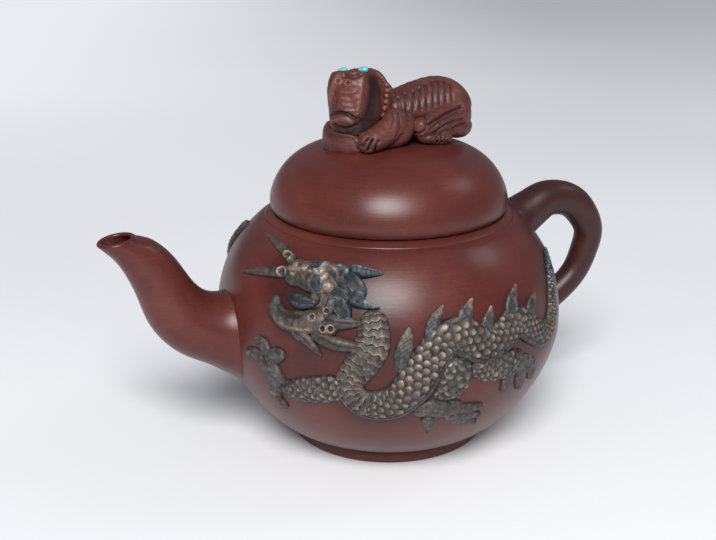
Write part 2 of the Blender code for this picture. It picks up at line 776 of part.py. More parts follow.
hind_leg_a_shares = [
    thigh_path_shares,
    [(0.470, 0.456, 0.50), (0.466, 0.420, 0.60), (0.470, 0.380, 0.50)],
    [
        (0.422, 0.370, 0.40), (0.448, 0.388, 0.60), (0.476, 0.386, 0.72),
        (0.500, 0.372, 0.55), (0.514, 0.366, 0.32),
    ],
    [(0.446, 0.352, 0.40), (0.453, 0.300, 0.34), (0.458, 0.250, 0.15)],
    [(0.502, 0.366, 0.38), (0.532, 0.359, 0.36), (0.557, 0.356, 0.15)],
    [(0.494, 0.352, 0.40), (0.527, 0.322, 0.38), (0.561, 0.306, 0.15)],
    [(0.480, 0.350, 0.36), (0.520, 0.300, 0.36), (0.560, 0.264, 0.15)],
]
hind_leg_b_shares = [
    [(0.52, 0.56, 0.52), (0.546, 0.53, 0.68), (0.58, 0.522, 0.77), (0.612, 0.526, 0.74), (0.636, 0.52, 0.48)],
    [(0.598, 0.520, 0.42), (0.600, 0.440, 0.45), (0.595, 0.392, 0.19)],
    [(0.624, 0.515, 0.42), (0.637, 0.433, 0.45), (0.643, 0.372, 0.19)],
    [(0.628, 0.525, 0.42), (0.662, 0.470, 0.48), (0.672, 0.400, 0.19)],
]


def make_limb(name, parent, paths):
    """A leg and its claws, joined in one piece of clay."""
    limb = make_object(name, raised_strip(paths[0], limb_half_width, limb_height, limb_rings), slip, parent)
    tools = []
    for index, path in enumerate(paths[1:]):
        lift = gap + claw_lift * (index + 1)
        form = raised_strip(path, limb_half_width, limb_height, len(path) + 1, lift=lift)
        tools.append(make_object(name + "_claw_" + str(index), form, slip, parent, True))
    combine(limb, tools, "UNION")
    return limb


def make_dragon(name, turn, tail_shares):
    """One dragon, pressed from a mould in pieces. The second is the same dragon turned half round."""
    parent = make_empty(name + "_dragon", (0, 0, 0), turn, pot_axis)

    def piece(part, form, material):
        return make_object(name + "_" + part, raised_strip(*form), material, parent)

    def cutter(part, form):
        return make_object(name + "_" + part + "_cutter", raised_strip(*form, gap), slip, parent, True)

    coil_form = (coil_path_shares + tail_shares, coil_half_width, coil_height, coil_rings)
    head_form = (head_path_shares, head_half_span, head_height, 9)
    mane_form = (mane_path_shares, mane_half_width, mane_height, 8)
    jaw_form = (jaw_path_shares, jaw_half_width, jaw_height, 10)
    tongue_form = (tongue_path_shares, tongue_half_width, tongue_height, 5)
    beard_form = (beard_path_shares, beard_half_width, beard_height, 6)
    upper_leaf_form = (upper_leaf_path_shares, leaf_half_width, leaf_height, 6)
    lower_leaf_form = (lower_leaf_path_shares, leaf_half_width, leaf_height, 6)

    coil_cutter = cutter("coil", coil_form)
    head_cutter = cutter("head", head_form)
    mane_cutter = cutter("mane", mane_form)
    jaw_cutter = cutter("jaw", jaw_form)
    upper_leaf_cutter = cutter("upper_leaf", upper_leaf_form)
    lower_leaf_cutter = cutter("lower_leaf", lower_leaf_form)

    piece("mane", mane_form, crest_slip)
    combine(piece("head", head_form, slip), [mane_cutter], "DIFFERENCE")
    combine(piece("jaw", jaw_form, slip), [head_cutter, mane_cutter], "DIFFERENCE")
    combine(piece("tongue", tongue_form, crest_slip), [head_cutter, jaw_cutter], "DIFFERENCE")
    combine(piece("beard", beard_form, slip), [jaw_cutter, lower_leaf_cutter], "DIFFERENCE")
    combine(piece("upper_leaf", upper_leaf_form, slip), [jaw_cutter, head_cutter, mane_cutter], "DIFFERENCE")
    combine(piece("lower_leaf", lower_leaf_form, slip), [jaw_cutter, upper_leaf_cutter], "DIFFERENCE")

    face_cutters = [head_cutter, mane_cutter, jaw_cutter, upper_leaf_cutter, lower_leaf_cutter]
    for part, path in horn_path_shares.items():
        horn_form = (path, horn_half_width, horn_height, 6)
        combine(piece(part, horn_form, crest_slip), [mane_cutter], "DIFFERENCE")
        face_cutters.append(cutter(part, horn_form))
    for part, path in whisker_path_shares.items():
        whisker = piece(part, (path, whisker_half_width, whisker_height, 6), slip)
        combine(whisker, [head_cutter, handle_cutter], "DIFFERENCE")
    combine(piece("coil", coil_form, slip), face_cutters, "DIFFERENCE")
    for part, path in fin_path_shares.items():
        combine(piece(part, (path, fin_half_width, fin_height, 5), slip), [coil_cutter], "DIFFERENCE")

    thigh_cutter = cutter("hind_leg_a", (thigh_path_shares, limb_half_width, limb_height, limb_rings))
    combine(make_limb(name + "_foreleg", parent, foreleg_shares), [coil_cutter], "DIFFERENCE")
    thigh = make_limb(name + "_hind_leg_a", parent, hind_leg_a_shares)
    combine(thigh, [coil_cutter], "DIFFERENCE", True)
    shank = make_limb(name + "_hind_leg_b", parent, hind_leg_b_shares)
    combine(shank, [coil_cutter, thigh_cutter], "DIFFERENCE")


make_body()
make_rim()
make_foot()
make_spout()
make_sieve()
make_handle()
make_lid()
make_flange()
make_tiger()
make_dragon("front", 0, front_tail_shares)
make_dragon("back", pi, back_tail_shares)
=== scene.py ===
import bpy
import bmesh
import numpy as np
from math import cos, pi, radians, sin
from mathutils import Euler, Matrix, Vector
from mathutils.bvhtree import BVHTree


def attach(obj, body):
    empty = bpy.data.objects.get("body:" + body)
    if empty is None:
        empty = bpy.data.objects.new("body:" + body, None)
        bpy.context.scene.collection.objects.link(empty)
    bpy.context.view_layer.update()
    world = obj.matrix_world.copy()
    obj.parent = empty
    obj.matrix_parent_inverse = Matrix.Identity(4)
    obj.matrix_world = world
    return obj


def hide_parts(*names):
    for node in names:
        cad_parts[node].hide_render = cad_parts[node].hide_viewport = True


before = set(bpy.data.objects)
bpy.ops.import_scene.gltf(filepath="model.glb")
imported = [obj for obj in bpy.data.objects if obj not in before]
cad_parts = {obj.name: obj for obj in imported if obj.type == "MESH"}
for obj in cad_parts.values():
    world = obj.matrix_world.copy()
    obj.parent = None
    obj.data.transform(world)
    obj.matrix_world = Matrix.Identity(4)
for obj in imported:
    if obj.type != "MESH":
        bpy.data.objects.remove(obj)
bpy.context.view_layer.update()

# The body: a thrown ball of red-brown clay, burnished outside and left with its throwing rings inside.
# It has a flat base, a wide mouth with no neck, and one outlet behind the spout. Its outline is two
# rounded curves that meet at the belly, and the raised work is placed on it by shares.
axis_x = 0.00785
body_radius = 0.065
belly_height = 0.0449
base_height = 0.005
base_radius = 0.03605
rim_height = 0.088
shoulder_height = 0.086
neck_radius = 0.0427
body_wall = 0.004
belly_low_rise = 1.345
belly_low_swell = 1.244
belly_high_rise = 0.808
belly_high_swell = 1.6
mouth_radius = 0.0362
outlet_radius = 0.0085
outlet_height = 0.0465
outlet_drill_length = 0.04
throwing_ring_depth = 0.00018
throwing_ring_pitch = 0.0042
red_clay = (0.088, 0.0185, 0.0145, 1)
red_clay_dark = (0.048, 0.0105, 0.0090, 1)
red_clay_light = (0.140, 0.036, 0.027, 1)


class Wire:
    """A shader socket. Sums on it add Math nodes, and node() adds any other node of its tree."""

    def __init__(self, tree, socket=None):
        self.tree = tree
        self.socket = socket

    def node(self, kind, settings, values, output=0):
        item = self.tree.nodes.new("ShaderNode" + kind)
        for name, value in settings.items():
            if name == "stops":
                ramp = item.color_ramp
                while len(ramp.elements) < len(value):
                    ramp.elements.new(1)
                for stop, (place, colour) in zip(ramp.elements, value):
                    stop.position = place
                    stop.color = colour
            else:
                setattr(item, name, value)
        for name, value in values.items():
            if isinstance(value, Wire):
                self.tree.links.new(value.socket, item.inputs[name])
            else:
                item.inputs[name].default_value = value
        return Wire(self.tree, item.outputs[output])

    def sum_node(self, operation, first, second):
        return self.node("Math", {"operation": operation}, {0: first, 1: second})

    def __add__(self, other):
        return self.sum_node("ADD", self, other)

    def __radd__(self, other):
        return self.sum_node("ADD", other, self)

    def __sub__(self, other):
        return self.sum_node("SUBTRACT", self, other)

    def __rsub__(self, other):
        return self.sum_node("SUBTRACT", other, self)

    def __mul__(self, other):
        return self.sum_node("MULTIPLY", self, other)

    def __rmul__(self, other):
        return self.sum_node("MULTIPLY", other, self)

    def between(self, low, high):
        """A share from 0 to 1 as the value goes from low to high."""
        settings = {"interpolation_type": "SMOOTHSTEP"}
        return self.node("MapRange", settings, {"Value": self, "From Min": low, "From Max": high})

    def mix(self, first, second):
        """A colour from first to second by this value."""
        return self.node("Mix", {"data_type": "RGBA"}, {0: self, 6: first, 7: second}, 2)


def start_material(name):
    """A new material, a wire to add its nodes with, and its shader."""
    material = bpy.data.materials.new(name)
    material.use_nodes = True
    shader = material.node_tree.nodes["Principled BSDF"]
    return material, Wire(material.node_tree), shader


def join(wire, shader, name):
    """Feed a shader's socket."""
    wire.tree.links.new(wire.socket, shader.inputs[name])


def fired_clay(name, dark, middle, light, gloss, grain):
    """Fired clay: cloudy tone, fine grog specks, faint turning lines, and painted shade where it is pressed
    in.
    """
    material, wire, shader = start_material(name)
    place = wire.node("TexCoord", {}, {}, "Object")
    cloud = wire.node("TexNoise", {}, {"Vector": place, "Scale": 42, "Detail": 4, "Roughness": 0.55})
    speck = wire.node("TexNoise", {}, {"Vector": place, "Scale": 1500, "Detail": 3, "Roughness": 0.7})
    grog = wire.node("TexVoronoi", {}, {"Vector": place, "Scale": 620})
    stretch = wire.node("Mapping", {}, {"Vector": place, "Scale": (60, 60, 1900)})
    lines = wire.node("TexNoise", {}, {"Vector": stretch, "Scale": 1, "Detail": 3, "Roughness": 0.6})
    relief = wire.node("Attribute", {"attribute_name": "relief"}, {}, "Fac")
    tone = 0.5 + (cloud - 0.5) * 0.9 + (speck - 0.5) * grain + (lines - 0.5) * 0.25
    # The relief tone: painted shade where it is low (cuts, hollows, inside the spout, under the chin, round
    # the dragons), worn paler where it is high.
    tone = tone + (relief - 0.5) * 0.9
    colour = wire.node("ValToRGB", {"stops": [(0.1, dark), (0.5, middle), (0.95, light)]}, {0: tone})
    pale_speck = (1 - grog.between(0.05, 0.2)) * speck.between(0.5, 0.62) * 0.5
    colour = pale_speck.mix(colour, light)
    join(colour, shader, "Base Color")
    join(gloss + (cloud - 0.5) * 0.16 + (speck - 0.5) * 0.12 - (relief - 0.5) * 0.1, shader, "Roughness")
    rough = speck * 0.5 + lines * 0.7 - grog.between(0, 0.3) * 0.2
    bump = wire.node("Bump", {}, {"Height": rough, "Strength": 0.16, "Distance": 0.0002})
    join(bump, shader, "Normal")
    shader.inputs["Specular IOR Level"].default_value = 0.38
    return material


burnished_clay = fired_clay("burnished_red_clay", red_clay_dark, red_clay, red_clay_light, 0.34, 0.5)


def body_radius_at(height):
    """Outer radius of the round body at a height above the table."""
    low = np.clip((belly_height - height) / (belly_height - base_height), 0, 1) ** (1 / belly_low_rise)
    low = base_radius + (body_radius - base_radius) * np.sqrt(1 - low ** 2) ** belly_low_swell
    high = np.clip((height - belly_height) / (rim_height - belly_height), 0, 1) ** (1 / belly_high_rise)
    high = neck_radius + (body_radius - neck_radius) * np.sqrt(1 - high ** 2) ** belly_high_swell
    return np.where(height < belly_height, low, high)


def level_relief(mesh):
    """Give every point the plain tone, half way between pressed in and worn."""
    if "relief" not in mesh.attributes:
        tone = mesh.attributes.new("relief", "FLOAT", "POINT")
        tone.data.foreach_set("value", np.full(len(mesh.vertices), 0.5))


def new_piece(name, bm, material):
    """Close a bmesh into a smooth object that stands at the origin."""
    bmesh.ops.recalc_face_normals(bm, faces=bm.faces)
    mesh = bpy.data.meshes.new(name)
    bm.to_mesh(mesh)
    bm.free()
    level_relief(mesh)
    mesh.shade_smooth()
    mesh.set_sharp_from_angle(angle=radians(55))
    mesh.materials.append(material)
    item = bpy.data.objects.new(name, mesh)
    bpy.context.collection.objects.link(item)
    return item


def spun(profile, steps, closed):
    """Turn a profile of (radius, height) points once round the pot's axis."""
    bm = bmesh.new()
    corners = [bm.verts.new((axis_x + radius, 0, height)) for radius, height in profile]
    edges = [bm.edges.new(pair) for pair in zip(corners, corners[1:])]
    if closed:
        edges.append(bm.edges.new((corners[-1], corners[0])))
    bmesh.ops.spin(bm, geom=corners + edges, cent=(axis_x, 0, 0), axis=(0, 0, 1),
                   angle=2 * pi, steps=steps, use_merge=True)
    bmesh.ops.remove_doubles(bm, verts=bm.verts, dist=0.000001)
    return bm


def soften(bm, radius, angle):
    """Round every edge that is sharper than the angle."""
    bm.normal_update()
    sharp = [edge for edge in bm.edges if edge.is_manifold and edge.calc_face_angle() > radians(angle)]
    bmesh.ops.bevel(bm, geom=sharp, offset=radius, segments=3, profile=0.5, affect="EDGES", material=-1)
    return bm


def drilled(item, place, radius, depth):
    """Bore one round hole and keep the result as the object's own mesh."""
    drill = bmesh.new()
    bmesh.ops.create_cone(drill, cap_ends=True, segments=48, radius1=radius, radius2=radius,
                          depth=depth, matrix=place)
    tool_mesh = bpy.data.meshes.new("drill")
    drill.to_mesh(tool_mesh)
    drill.free()
    tool = bpy.data.objects.new("drill", tool_mesh)
    bpy.context.collection.objects.link(tool)
    step = item.modifiers.new("bore", "BOOLEAN")
    step.operation = "DIFFERENCE"
    step.solver = "EXACT"
    step.object = tool
    ready = item.evaluated_get(bpy.context.evaluated_depsgraph_get())
    bored = bpy.data.meshes.new_from_object(ready)
    item.modifiers.clear()
    item.data = bored
    bpy.data.objects.remove(tool, do_unlink=True)


outer_heights = base_height + (shoulder_height - base_height) * (1 - np.cos(np.linspace(0, 0.5, 72) * pi))
outer_profile = [(float(body_radius_at(height)), float(height)) for height in outer_heights]
inner_heights = np.linspace(shoulder_height - body_wall, base_height + body_wall, 120)
ring_wave = throwing_ring_depth * np.sin(inner_heights * 2 * pi / throwing_ring_pitch)
inner_radii = np.maximum(body_radius_at(inner_heights) - body_wall, base_radius - 0.004) + ring_wave
inner_profile = [(float(radius), float(height)) for radius, height in zip(inner_radii, inner_heights)]
body_profile = [(0, base_height)] + outer_profile
body_profile += [(mouth_radius + 0.0004, shoulder_height), (mouth_radius, shoulder_height - 0.0004)]
body_profile += [(mouth_radius, shoulder_height - body_wall)] + inner_profile
body_profile += [(base_radius - 0.008, base_height + body_wall), (0, base_height + body_wall)]
thrown_body = new_piece("thrown_body", spun(body_profile, 192, False), burnished_clay)
outlet_place = Matrix.Translation((axis_x - body_radius, 0, outlet_height)) @ Matrix.Rotation(pi / 2, 4, "Y")
drilled(thrown_body, outlet_place, outlet_radius, outlet_drill_length)
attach(thrown_body, "pot")
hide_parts("pot_body")

# The rim: a flat ring of the same clay, rolled and pressed round the mouth so that the lid has a level
# seat. Its outer edge is a little proud of the shoulder and shows as a thin light line under the lid.
rim_outer_radius = 0.0464
rim_top_radius = 0.0436
rim_profile = [
    (mouth_radius, 0.0859),
    (rim_outer_radius, 0.0859),
    (rim_outer_radius, 0.0862),
    (0.0461, 0.0865),
    (0.0455, 0.0869),
    (0.0447, 0.0874),
    (rim_top_radius, 0.08785),
    (mouth_radius, 0.08785),
]
rolled_rim = new_piece("rolled_rim", soften(spun(rim_profile, 192, True), 0.0003, 20), burnished_clay)
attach(rolled_rim, "pot")
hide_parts("mouth_rim")

# The foot: a low ring turned from the same clay and stuck under the flat base. The pot stands on it,
# and its outer face leans in a little at the top.
foot_profile = [(0.0323, 0), (0.0364, 0), (0.0372, 0.0008), (0.0363, 0.0051), (0.0315, 0.0051),
                (0.0315, 0.0008)]
turned_foot = new_piece("turned_foot", soften(spun(foot_profile, 192, True), 0.0004, 20), burnished_clay)
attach(turned_foot, "pot")
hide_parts("foot_ring")

# The spout: a curved tapering tube, made apart from the body and stuck over its outlet with wet clay.
# The joint is smoothed to a soft fillet. The lip is rounded and opens almost upwards.
spout_reach = 0.1085
lip_radius = 0.0069
lip_tilt = 9.2
lip_wall = 0.0018
spout_root_radius = 0.0152
spout_wall = 0.0032
clay_joint = 0.0013
clay_joint_reach = 0.0025
tube_overlap = 0.0008
spout_shares = [
    (0.470, 0.485, 1.02, 68),
    (0.540, 0.515, 0.97, 68),
    (0.614, 0.551, 0.80, 66),
    (0.705, 0.600, 0.64, 56),
    (0.768, 0.684, 0.49, 38),
    (0.826, 0.832, 0.26, 33),
    (0.880, 0.925, 0.08, 25),
]


def curve_at(points, shares):
    """Read a smooth curve through rows of numbers at shares of its length."""
    points = np.asarray(points, dtype=float)
    last = len(points) - 1
    place = np.clip(shares, 0, 1) * last
    start = np.clip(place.astype(int), 0, last - 1)
    part = (place - start)[..., None]
    before, first = points[np.maximum(start - 1, 0)], points[start]
    second, after = points[start + 1], points[np.minimum(start + 2, last)]
    near, far, step = (second - before) / 2, (after - first) / 2, second - first
    return first + part * (near + part * (3 * step - 2 * near - far + part * (near + far - 2 * step)))


def rolled(rows, columns, place):
    """Roll a flat sheet into a closed form.

    place takes each corner's row (0 to rows) and its share round the form, and gives its point and
    its tones. The tone called relief goes from pressed in (0) to worn (1).
    """
    sheet = bmesh.new()
    bmesh.ops.create_grid(sheet, x_segments=rows, y_segments=columns, size=0.5)
    mesh = bpy.data.meshes.new("sheet")
    sheet.to_mesh(mesh)
    flat = np.empty(len(mesh.vertices) * 3)
    mesh.vertices.foreach_get("co", flat)
    flat = flat.reshape(-1, 3)
    row = np.round((flat[:, 0] + 0.5) * rows)
    turn = (flat[:, 1] + 0.5) % 1
    points, tones = place(row, turn)
    mesh.vertices.foreach_set("co", np.ascontiguousarray(points, dtype=np.float32).ravel())
    for name, values in tones.items():
        tone = mesh.attributes.new(name, "FLOAT", "POINT")
        tone.data.foreach_set("value", np.ascontiguousarray(values, dtype=np.float32))
    sheet.clear()
    sheet.from_mesh(mesh)
    bpy.data.meshes.remove(mesh)
    bmesh.ops.remove_doubles(sheet, verts=sheet.verts, dist=0.000002)
    return sheet


def lengths(vectors):
    """Length of each vector, kept as a column."""
    return np.sqrt((vectors ** 2).sum(-1, keepdims=True))


def inside_body(points, depth):
    """Which points lie further in than the outer wall by more than a depth."""
    return np.hypot(points[..., 0], points[..., 1]) < body_radius_at(points[..., 2]) - depth


spout_lip_centre = spout_reach - lip_radius * cos(radians(lip_tilt))
spout_rows = [(-spout_reach * x, rim_height * z, size, radians(lean)) for x, z, size, lean in spout_shares]
spout_rows.append((-spout_lip_centre, rim_height * 0.975, 0, radians(lip_tilt)))


def spout_point(along, turn, root_radius, tip_radius, ahead):
    """A point of the spout, by its share along the tube and round it."""
    x, z, size, lean = np.moveaxis(curve_at(spout_rows, along), -1, 0)
    radius = tip_radius + (root_radius - tip_radius) * size
    up = np.stack([np.cos(lean), 0 * lean, np.sin(lean)], -1)
    forward = np.stack([-np.sin(lean), 0 * lean, np.cos(lean)], -1)
    centre = np.stack([x, 0 * x, z], -1) + forward * ahead[..., None]
    angle = 2 * pi * turn
    side = np.stack([0 * angle, np.sin(angle), 0 * angle], -1)
    return centre, up * np.cos(angle)[..., None] + side, radius


def wall_share(point_at, turn, shares):
    """For each turn round a tube, the last share along it that is still inside the wall."""
    grid_share, grid_turn = np.meshgrid(shares, turn, indexing="ij")
    hidden = inside_body(point_at(grid_share, grid_turn), tube_overlap)
    return shares[len(shares) - 1 - np.argmax(hidden[::-1], axis=0)]


def fillet(centre, way, radius):
    """Widen a tube where it meets the body."""
    point = centre + way * radius[..., None]
    apart = np.hypot(point[..., 0], point[..., 1]) - body_radius_at(point[..., 2])
    return point + way * (clay_joint * np.exp(-np.maximum(apart, 0) / clay_joint_reach))[..., None]


def make_spout():
    """Roll the outer face, the lip and the inner face in one closed sheet."""
    columns, outer_count, lip_count, inner_count = 72, 96, 8, 60
    rows = outer_count + lip_count + inner_count
    turns = np.arange(columns) / columns
    samples = np.linspace(0, 0.5, 400)

    def outer_at(along, turn):
        centre, way, radius = spout_point(along, turn, spout_root_radius, lip_radius, 0 * along)
        return centre + way * radius[..., None]

    def inner_at(along, turn):
        centre, way, radius = spout_point(along, turn, spout_root_radius - spout_wall,
                                          lip_radius - lip_wall, 0 * along)
        return centre + way * radius[..., None]

    outer_start = wall_share(outer_at, turns, samples)
    inner_start = wall_share(inner_at, turns, samples)

    def place(row, turn):
        column = np.round(turn * columns).astype(int) % columns
        row = np.where(row == rows, 0, row)
        outside = row <= outer_count
        bend = np.clip((row - outer_count) / lip_count, 0, 1)
        outer_share = np.clip(row / outer_count, 0, 1)
        inner_share = np.clip((rows - 1 - row) / (inner_count - 1), 0, 1)
        start = np.where(outside, outer_start[column], inner_start[column])
        share = np.where(outside, outer_share, np.where(bend < 1, 1, inner_share))
        along = start + (1 - start) * share
        ahead = lip_wall / 2 * np.sin(pi * bend)
        centre, way, radius = spout_point(along, turn, spout_root_radius, lip_radius, ahead)
        inner_radius = spout_point(along, turn, spout_root_radius - spout_wall,
                                   lip_radius - lip_wall, ahead)[2]
        depth = (1 - np.cos(pi * bend)) / 2
        radius = radius + (inner_radius - radius) * depth
        point = centre + way * radius[:, None]
        point = np.where(outside[:, None], fillet(centre, way, radius), point)
        # Painted shade: the inside face is darker than the outside, and the rounded lip is a little paler.
        tone = np.where(outside, 0.5, 0.3) + 0.25 * np.sin(pi * bend)
        return point + [axis_x, 0, 0], {"relief": tone}

    return rolled(rows, columns, place)


curved_spout = new_piece("curved_spout", make_spout(), burnished_clay)
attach(curved_spout, "pot")
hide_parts("spout")

# The sieve: a small round plate of clay with seven holes, set in the outlet to hold the leaves back.
# It keeps its solid, and takes the unburnished clay of the inside.
raw_clay = fired_clay("unburnished_red_clay", red_clay_dark, red_clay, red_clay_light, 0.62, 0.8)
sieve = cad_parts["spout_sieve"]
sieve.material_slots[0].material = raw_clay

# The handle: a thick roll of clay, round in section, bent to an ear and tapered downwards.
# Both ends are stuck to the body and smoothed in.
# Painted shade: the handle's clay is a darker copy of the burnished clay, for the shade that falls on it.
handle_shaded_clay = fired_clay("handle_painted_shade_clay", (0.018, 0.0060, 0.0052, 1), (0.034, 0.0105, 0.0092, 1),
                         (0.062, 0.019, 0.015, 1), 0.38, 0.5)
handle_reach = 0.0928
handle_top_height = 0.0913
handle_root_radius = 0.0083
handle_end_radius = 0.0052
handle_shares = [
    (0.480, 0.795, 1.05),
    (0.556, 0.832, 1.00),
    (0.640, 0.880, 0.86),
    (0.722, 0.922, 0.62),
    (0.816, 0.912, 0.48),
    (0.887, 0.859, 0.36),
    (0.938, 0.763, 0.16),
    (0.920, 0.660, 0.08),
    (0.876, 0.566, 0.00),
    (0.795, 0.488, 0.00),
    (0.690, 0.425, 0.05),
    (0.600, 0.385, 0.10),
]


def frame_along(curve, share, side_way):
    """Centre line, its size columns, and the two ways across it."""
    here = curve_at(curve, share)
    ahead = curve_at(curve, share + 0.002)[..., :3] - curve_at(curve, share - 0.002)[..., :3]
    ahead = ahead / np.maximum(lengths(ahead), 1e-9)
    up = np.cross(ahead, side_way)
    up = up / lengths(up)
    return here, up, np.cross(up, ahead)


def make_handle():
    """Roll the loop between the two places where it enters the wall."""
    columns, rows = 64, 150
    turns = np.arange(columns) / columns
    stations = [(handle_reach * x, 0, handle_top_height * z,
                 handle_end_radius + (handle_root_radius - handle_end_radius) * taper)
                for x, z, taper in handle_shares]

    def tube_at(share, turn):
        here, up, across = frame_along(stations, share, (0, 1, 0))
        angle = (2 * pi * turn)[..., None]
        return here[..., :3], across * np.cos(angle) + up * np.sin(angle), here[..., 3]

    def point_at(share, turn):
        centre, way, radius = tube_at(share, turn)
        return centre + way * radius[..., None]

    near = wall_share(point_at, turns, np.linspace(0, 0.4, 300))
    far = wall_share(point_at, turns, np.linspace(1, 0.6, 300))

    def place(row, turn):
        column = np.round(turn * columns).astype(int) % columns
        part = np.clip((row - 1) / (rows - 2), 0, 1)
        share = near[column] + (far - near)[column] * part
        centre, way, radius = tube_at(share, turn)
        point = fillet(centre, way, radius)
        for end in (0, rows):
            ring = point[row == (1 if end == 0 else rows - 1)]
            point[row == end] = ring.mean(axis=0)
        return point + [axis_x, 0, 0], {"relief": np.full(len(row), 0.5)}

    return rolled(rows, columns, place)


loop_handle = new_piece("loop_handle", make_handle(), handle_shaded_clay)
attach(loop_handle, "pot")
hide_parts("handle")

# The lid: a hollow cushion dome of the same clay, thrown upside down and turned. A vent hole is
# pierced through it under the tiger's belly, and it rests on the rim by its own weight.
lid_belly_height = 0.0916
lid_top_height = 0.1128
lid_radius = 0.0442
lid_seat_radius = 0.0429
lid_dome_rise = 1.206
lid_wall = 0.0042
lid_well_radius = 0.0305
lid_seat = 0.08815
vent_radius = 0.00125
vent_reach = 0.0095
vent_drill_length = 0.012


def dome_profile(radius, rise, count):
    """Points of the dome from its widest point to its top."""
    leans = np.linspace(0, pi / 2, count + 1)
    radii = radius * np.sqrt(np.maximum(np.cos(leans), 0))
    heights = lid_belly_height + rise * np.sin(leans) ** lid_dome_rise
    profile = [(float(r), float(h)) for r, h in zip(radii, heights)]
    profile[-1] = (0, lid_belly_height + rise)
    return profile


dome_rise = lid_top_height - lid_belly_height
lid_profile = dome_profile(lid_radius, dome_rise, 64)[::-1]
lid_profile += [(0.0441, 0.0904), (0.0438, 0.0893), (0.0434, 0.0885), (lid_seat_radius, lid_seat)]
lid_profile += [(lid_well_radius, lid_seat), (lid_well_radius, lid_belly_height)]
lid_profile += dome_profile(lid_radius - lid_wall, dome_rise - lid_wall, 40)
turned_lid = new_piece("turned_lid", spun(lid_profile, 192, False), burnished_clay)
vent_place = Matrix.Translation((axis_x + vent_reach, 0, lid_top_height))
drilled(turned_lid, vent_place, vent_radius, vent_drill_length)
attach(turned_lid, "lid")
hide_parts("lid_dome")

# The flange: a plain ring under the lid that drops in the mouth and stops the lid from sliding off.
# It is turned with the lid and left unburnished.
flange_profile = [(0.0322, 0.0883), (0.0356, 0.0883), (0.0356, 0.0811), (0.0348, 0.0803),
                  (0.0330, 0.0803), (0.0322, 0.0811)]
lid_ring = new_piece("lid_ring", soften(spun(flange_profile, 160, True), 0.0003, 20), raw_clay)
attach(lid_ring, "lid")
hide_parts("lid_flange")

# The tiger: the knob of the lid, modelled by hand in a darker clay, with its head to the near side and
# its forelegs crossed. Stations are (x, y, z, half width, half height) in shares. Tool marks are placed by
# points of the photograph, in pixels from its top left corner, and found on the clay along the camera's rays.
tiger_height = 0.0275
tiger_reach = 0.0330
tiger_half_width = 0.0110
tiger_turn = 10
head_turn = 30
head_tilt = -7
head_half_width = 0.0106
head_half_depth = 0.0090
head_pivot_share = -0.43
tiger_grain = 0.00030
head_grain = 0.00026
dent_height = 0.00004
joint_smoothings = 5
cut_shade_and_wear_depth = 0.0016
ring_crest = 0.7
ring_crest_width = 0.26
ring_pit_width = 0.4
photo_width = 716
photo_height = 540
camera_place = Vector((-0.15739, -0.39893, 0.21203))
camera_angles = Euler((radians(70.915), radians(0.022), radians(-20.994)))
camera_lens = 60.335
camera_sensor = 36
ray_distances = np.arange(0.38, 0.50, 0.0006)
tiger_clay = (0.076, 0.020, 0.0165, 1)
tiger_clay_dark = (0.016, 0.0055, 0.0050, 1)
tiger_clay_light = (0.200, 0.072, 0.056, 1)
modelled_clay = fired_clay("tiger_dark_clay", tiger_clay_dark, tiger_clay, tiger_clay_light, 0.42, 0.45)


def even_rows(row, rows):
    """Rows set closer together at both ends."""
    return 0.5 - 0.5 * np.cos(pi * row / rows)


def tiger_place(points):
    """From the tiger's own frame to its place on the lid."""
    angle = radians(tiger_turn)
    x = points[:, 0] * cos(angle) - points[:, 1] * sin(angle)
    y = points[:, 0] * sin(angle) + points[:, 1] * cos(angle)
    return np.stack([x + axis_x, y, points[:, 2] + lid_top_height], -1)


def head_place(points):
    """Turn a form of the head to the near side and tilt it about the neck."""
    pivot = np.array([head_pivot_share * tiger_reach, 0, tiger_height / 2])
    turn = Matrix.Rotation(radians(head_turn), 3, "Z") @ Matrix.Rotation(radians(head_tilt), 3, "X")
    return tiger_place((points - pivot) @ np.array(turn).T + pivot)


def tiger_form(shares, rows, columns, cap=0.002, side_way=(0, 1, 0),
               widths=(tiger_half_width, tiger_height), roundness=1.0):
    """A rounded lump of clay along its stations, in the tiger's own frame."""
    stations = [(x * tiger_reach, y * tiger_half_width, z * tiger_height, wide * widths[0], high * widths[1])
                for x, y, z, wide, high in shares]
    line = curve_at(stations, np.linspace(0, 1, 200))
    length = float(lengths(np.diff(line[:, :3], axis=0)).sum())

    def place(row, turn):
        share = even_rows(row, rows)
        here, up, across = frame_along(stations, share, side_way)
        near_end = np.clip(np.minimum(share, 1 - share) * length / cap, 0, 1)
        closing = np.sqrt(1 - (1 - near_end) ** 2)
        angle = 2 * pi * turn
        size_across = here[:, 3] * closing * np.sign(np.cos(angle)) * np.abs(np.cos(angle)) ** roundness
        size_up = here[:, 4] * closing * np.sign(np.sin(angle)) * np.abs(np.sin(angle)) ** roundness
        point = here[:, :3] + across * size_across[:, None] + up * size_up[:, None]
        return point, {"relief": np.full(len(row), 0.5)}

    return rolled(rows, columns, place)


def together(*forms):
    """Put several closed forms of one piece in one bmesh."""
    whole = forms[0]
    for form in forms[1:]:
        mesh = bpy.data.meshes.new("part")
        bmesh.ops.recalc_face_normals(form, faces=form.faces)
        form.to_mesh(mesh)
        form.free()
        whole.from_mesh(mesh)
        bpy.data.meshes.remove(mesh)
    return whole


def mirrored(rows):
    """The same stations on the tiger's other side."""
    return [(x, -y, *rest) for x, y, *rest in rows]


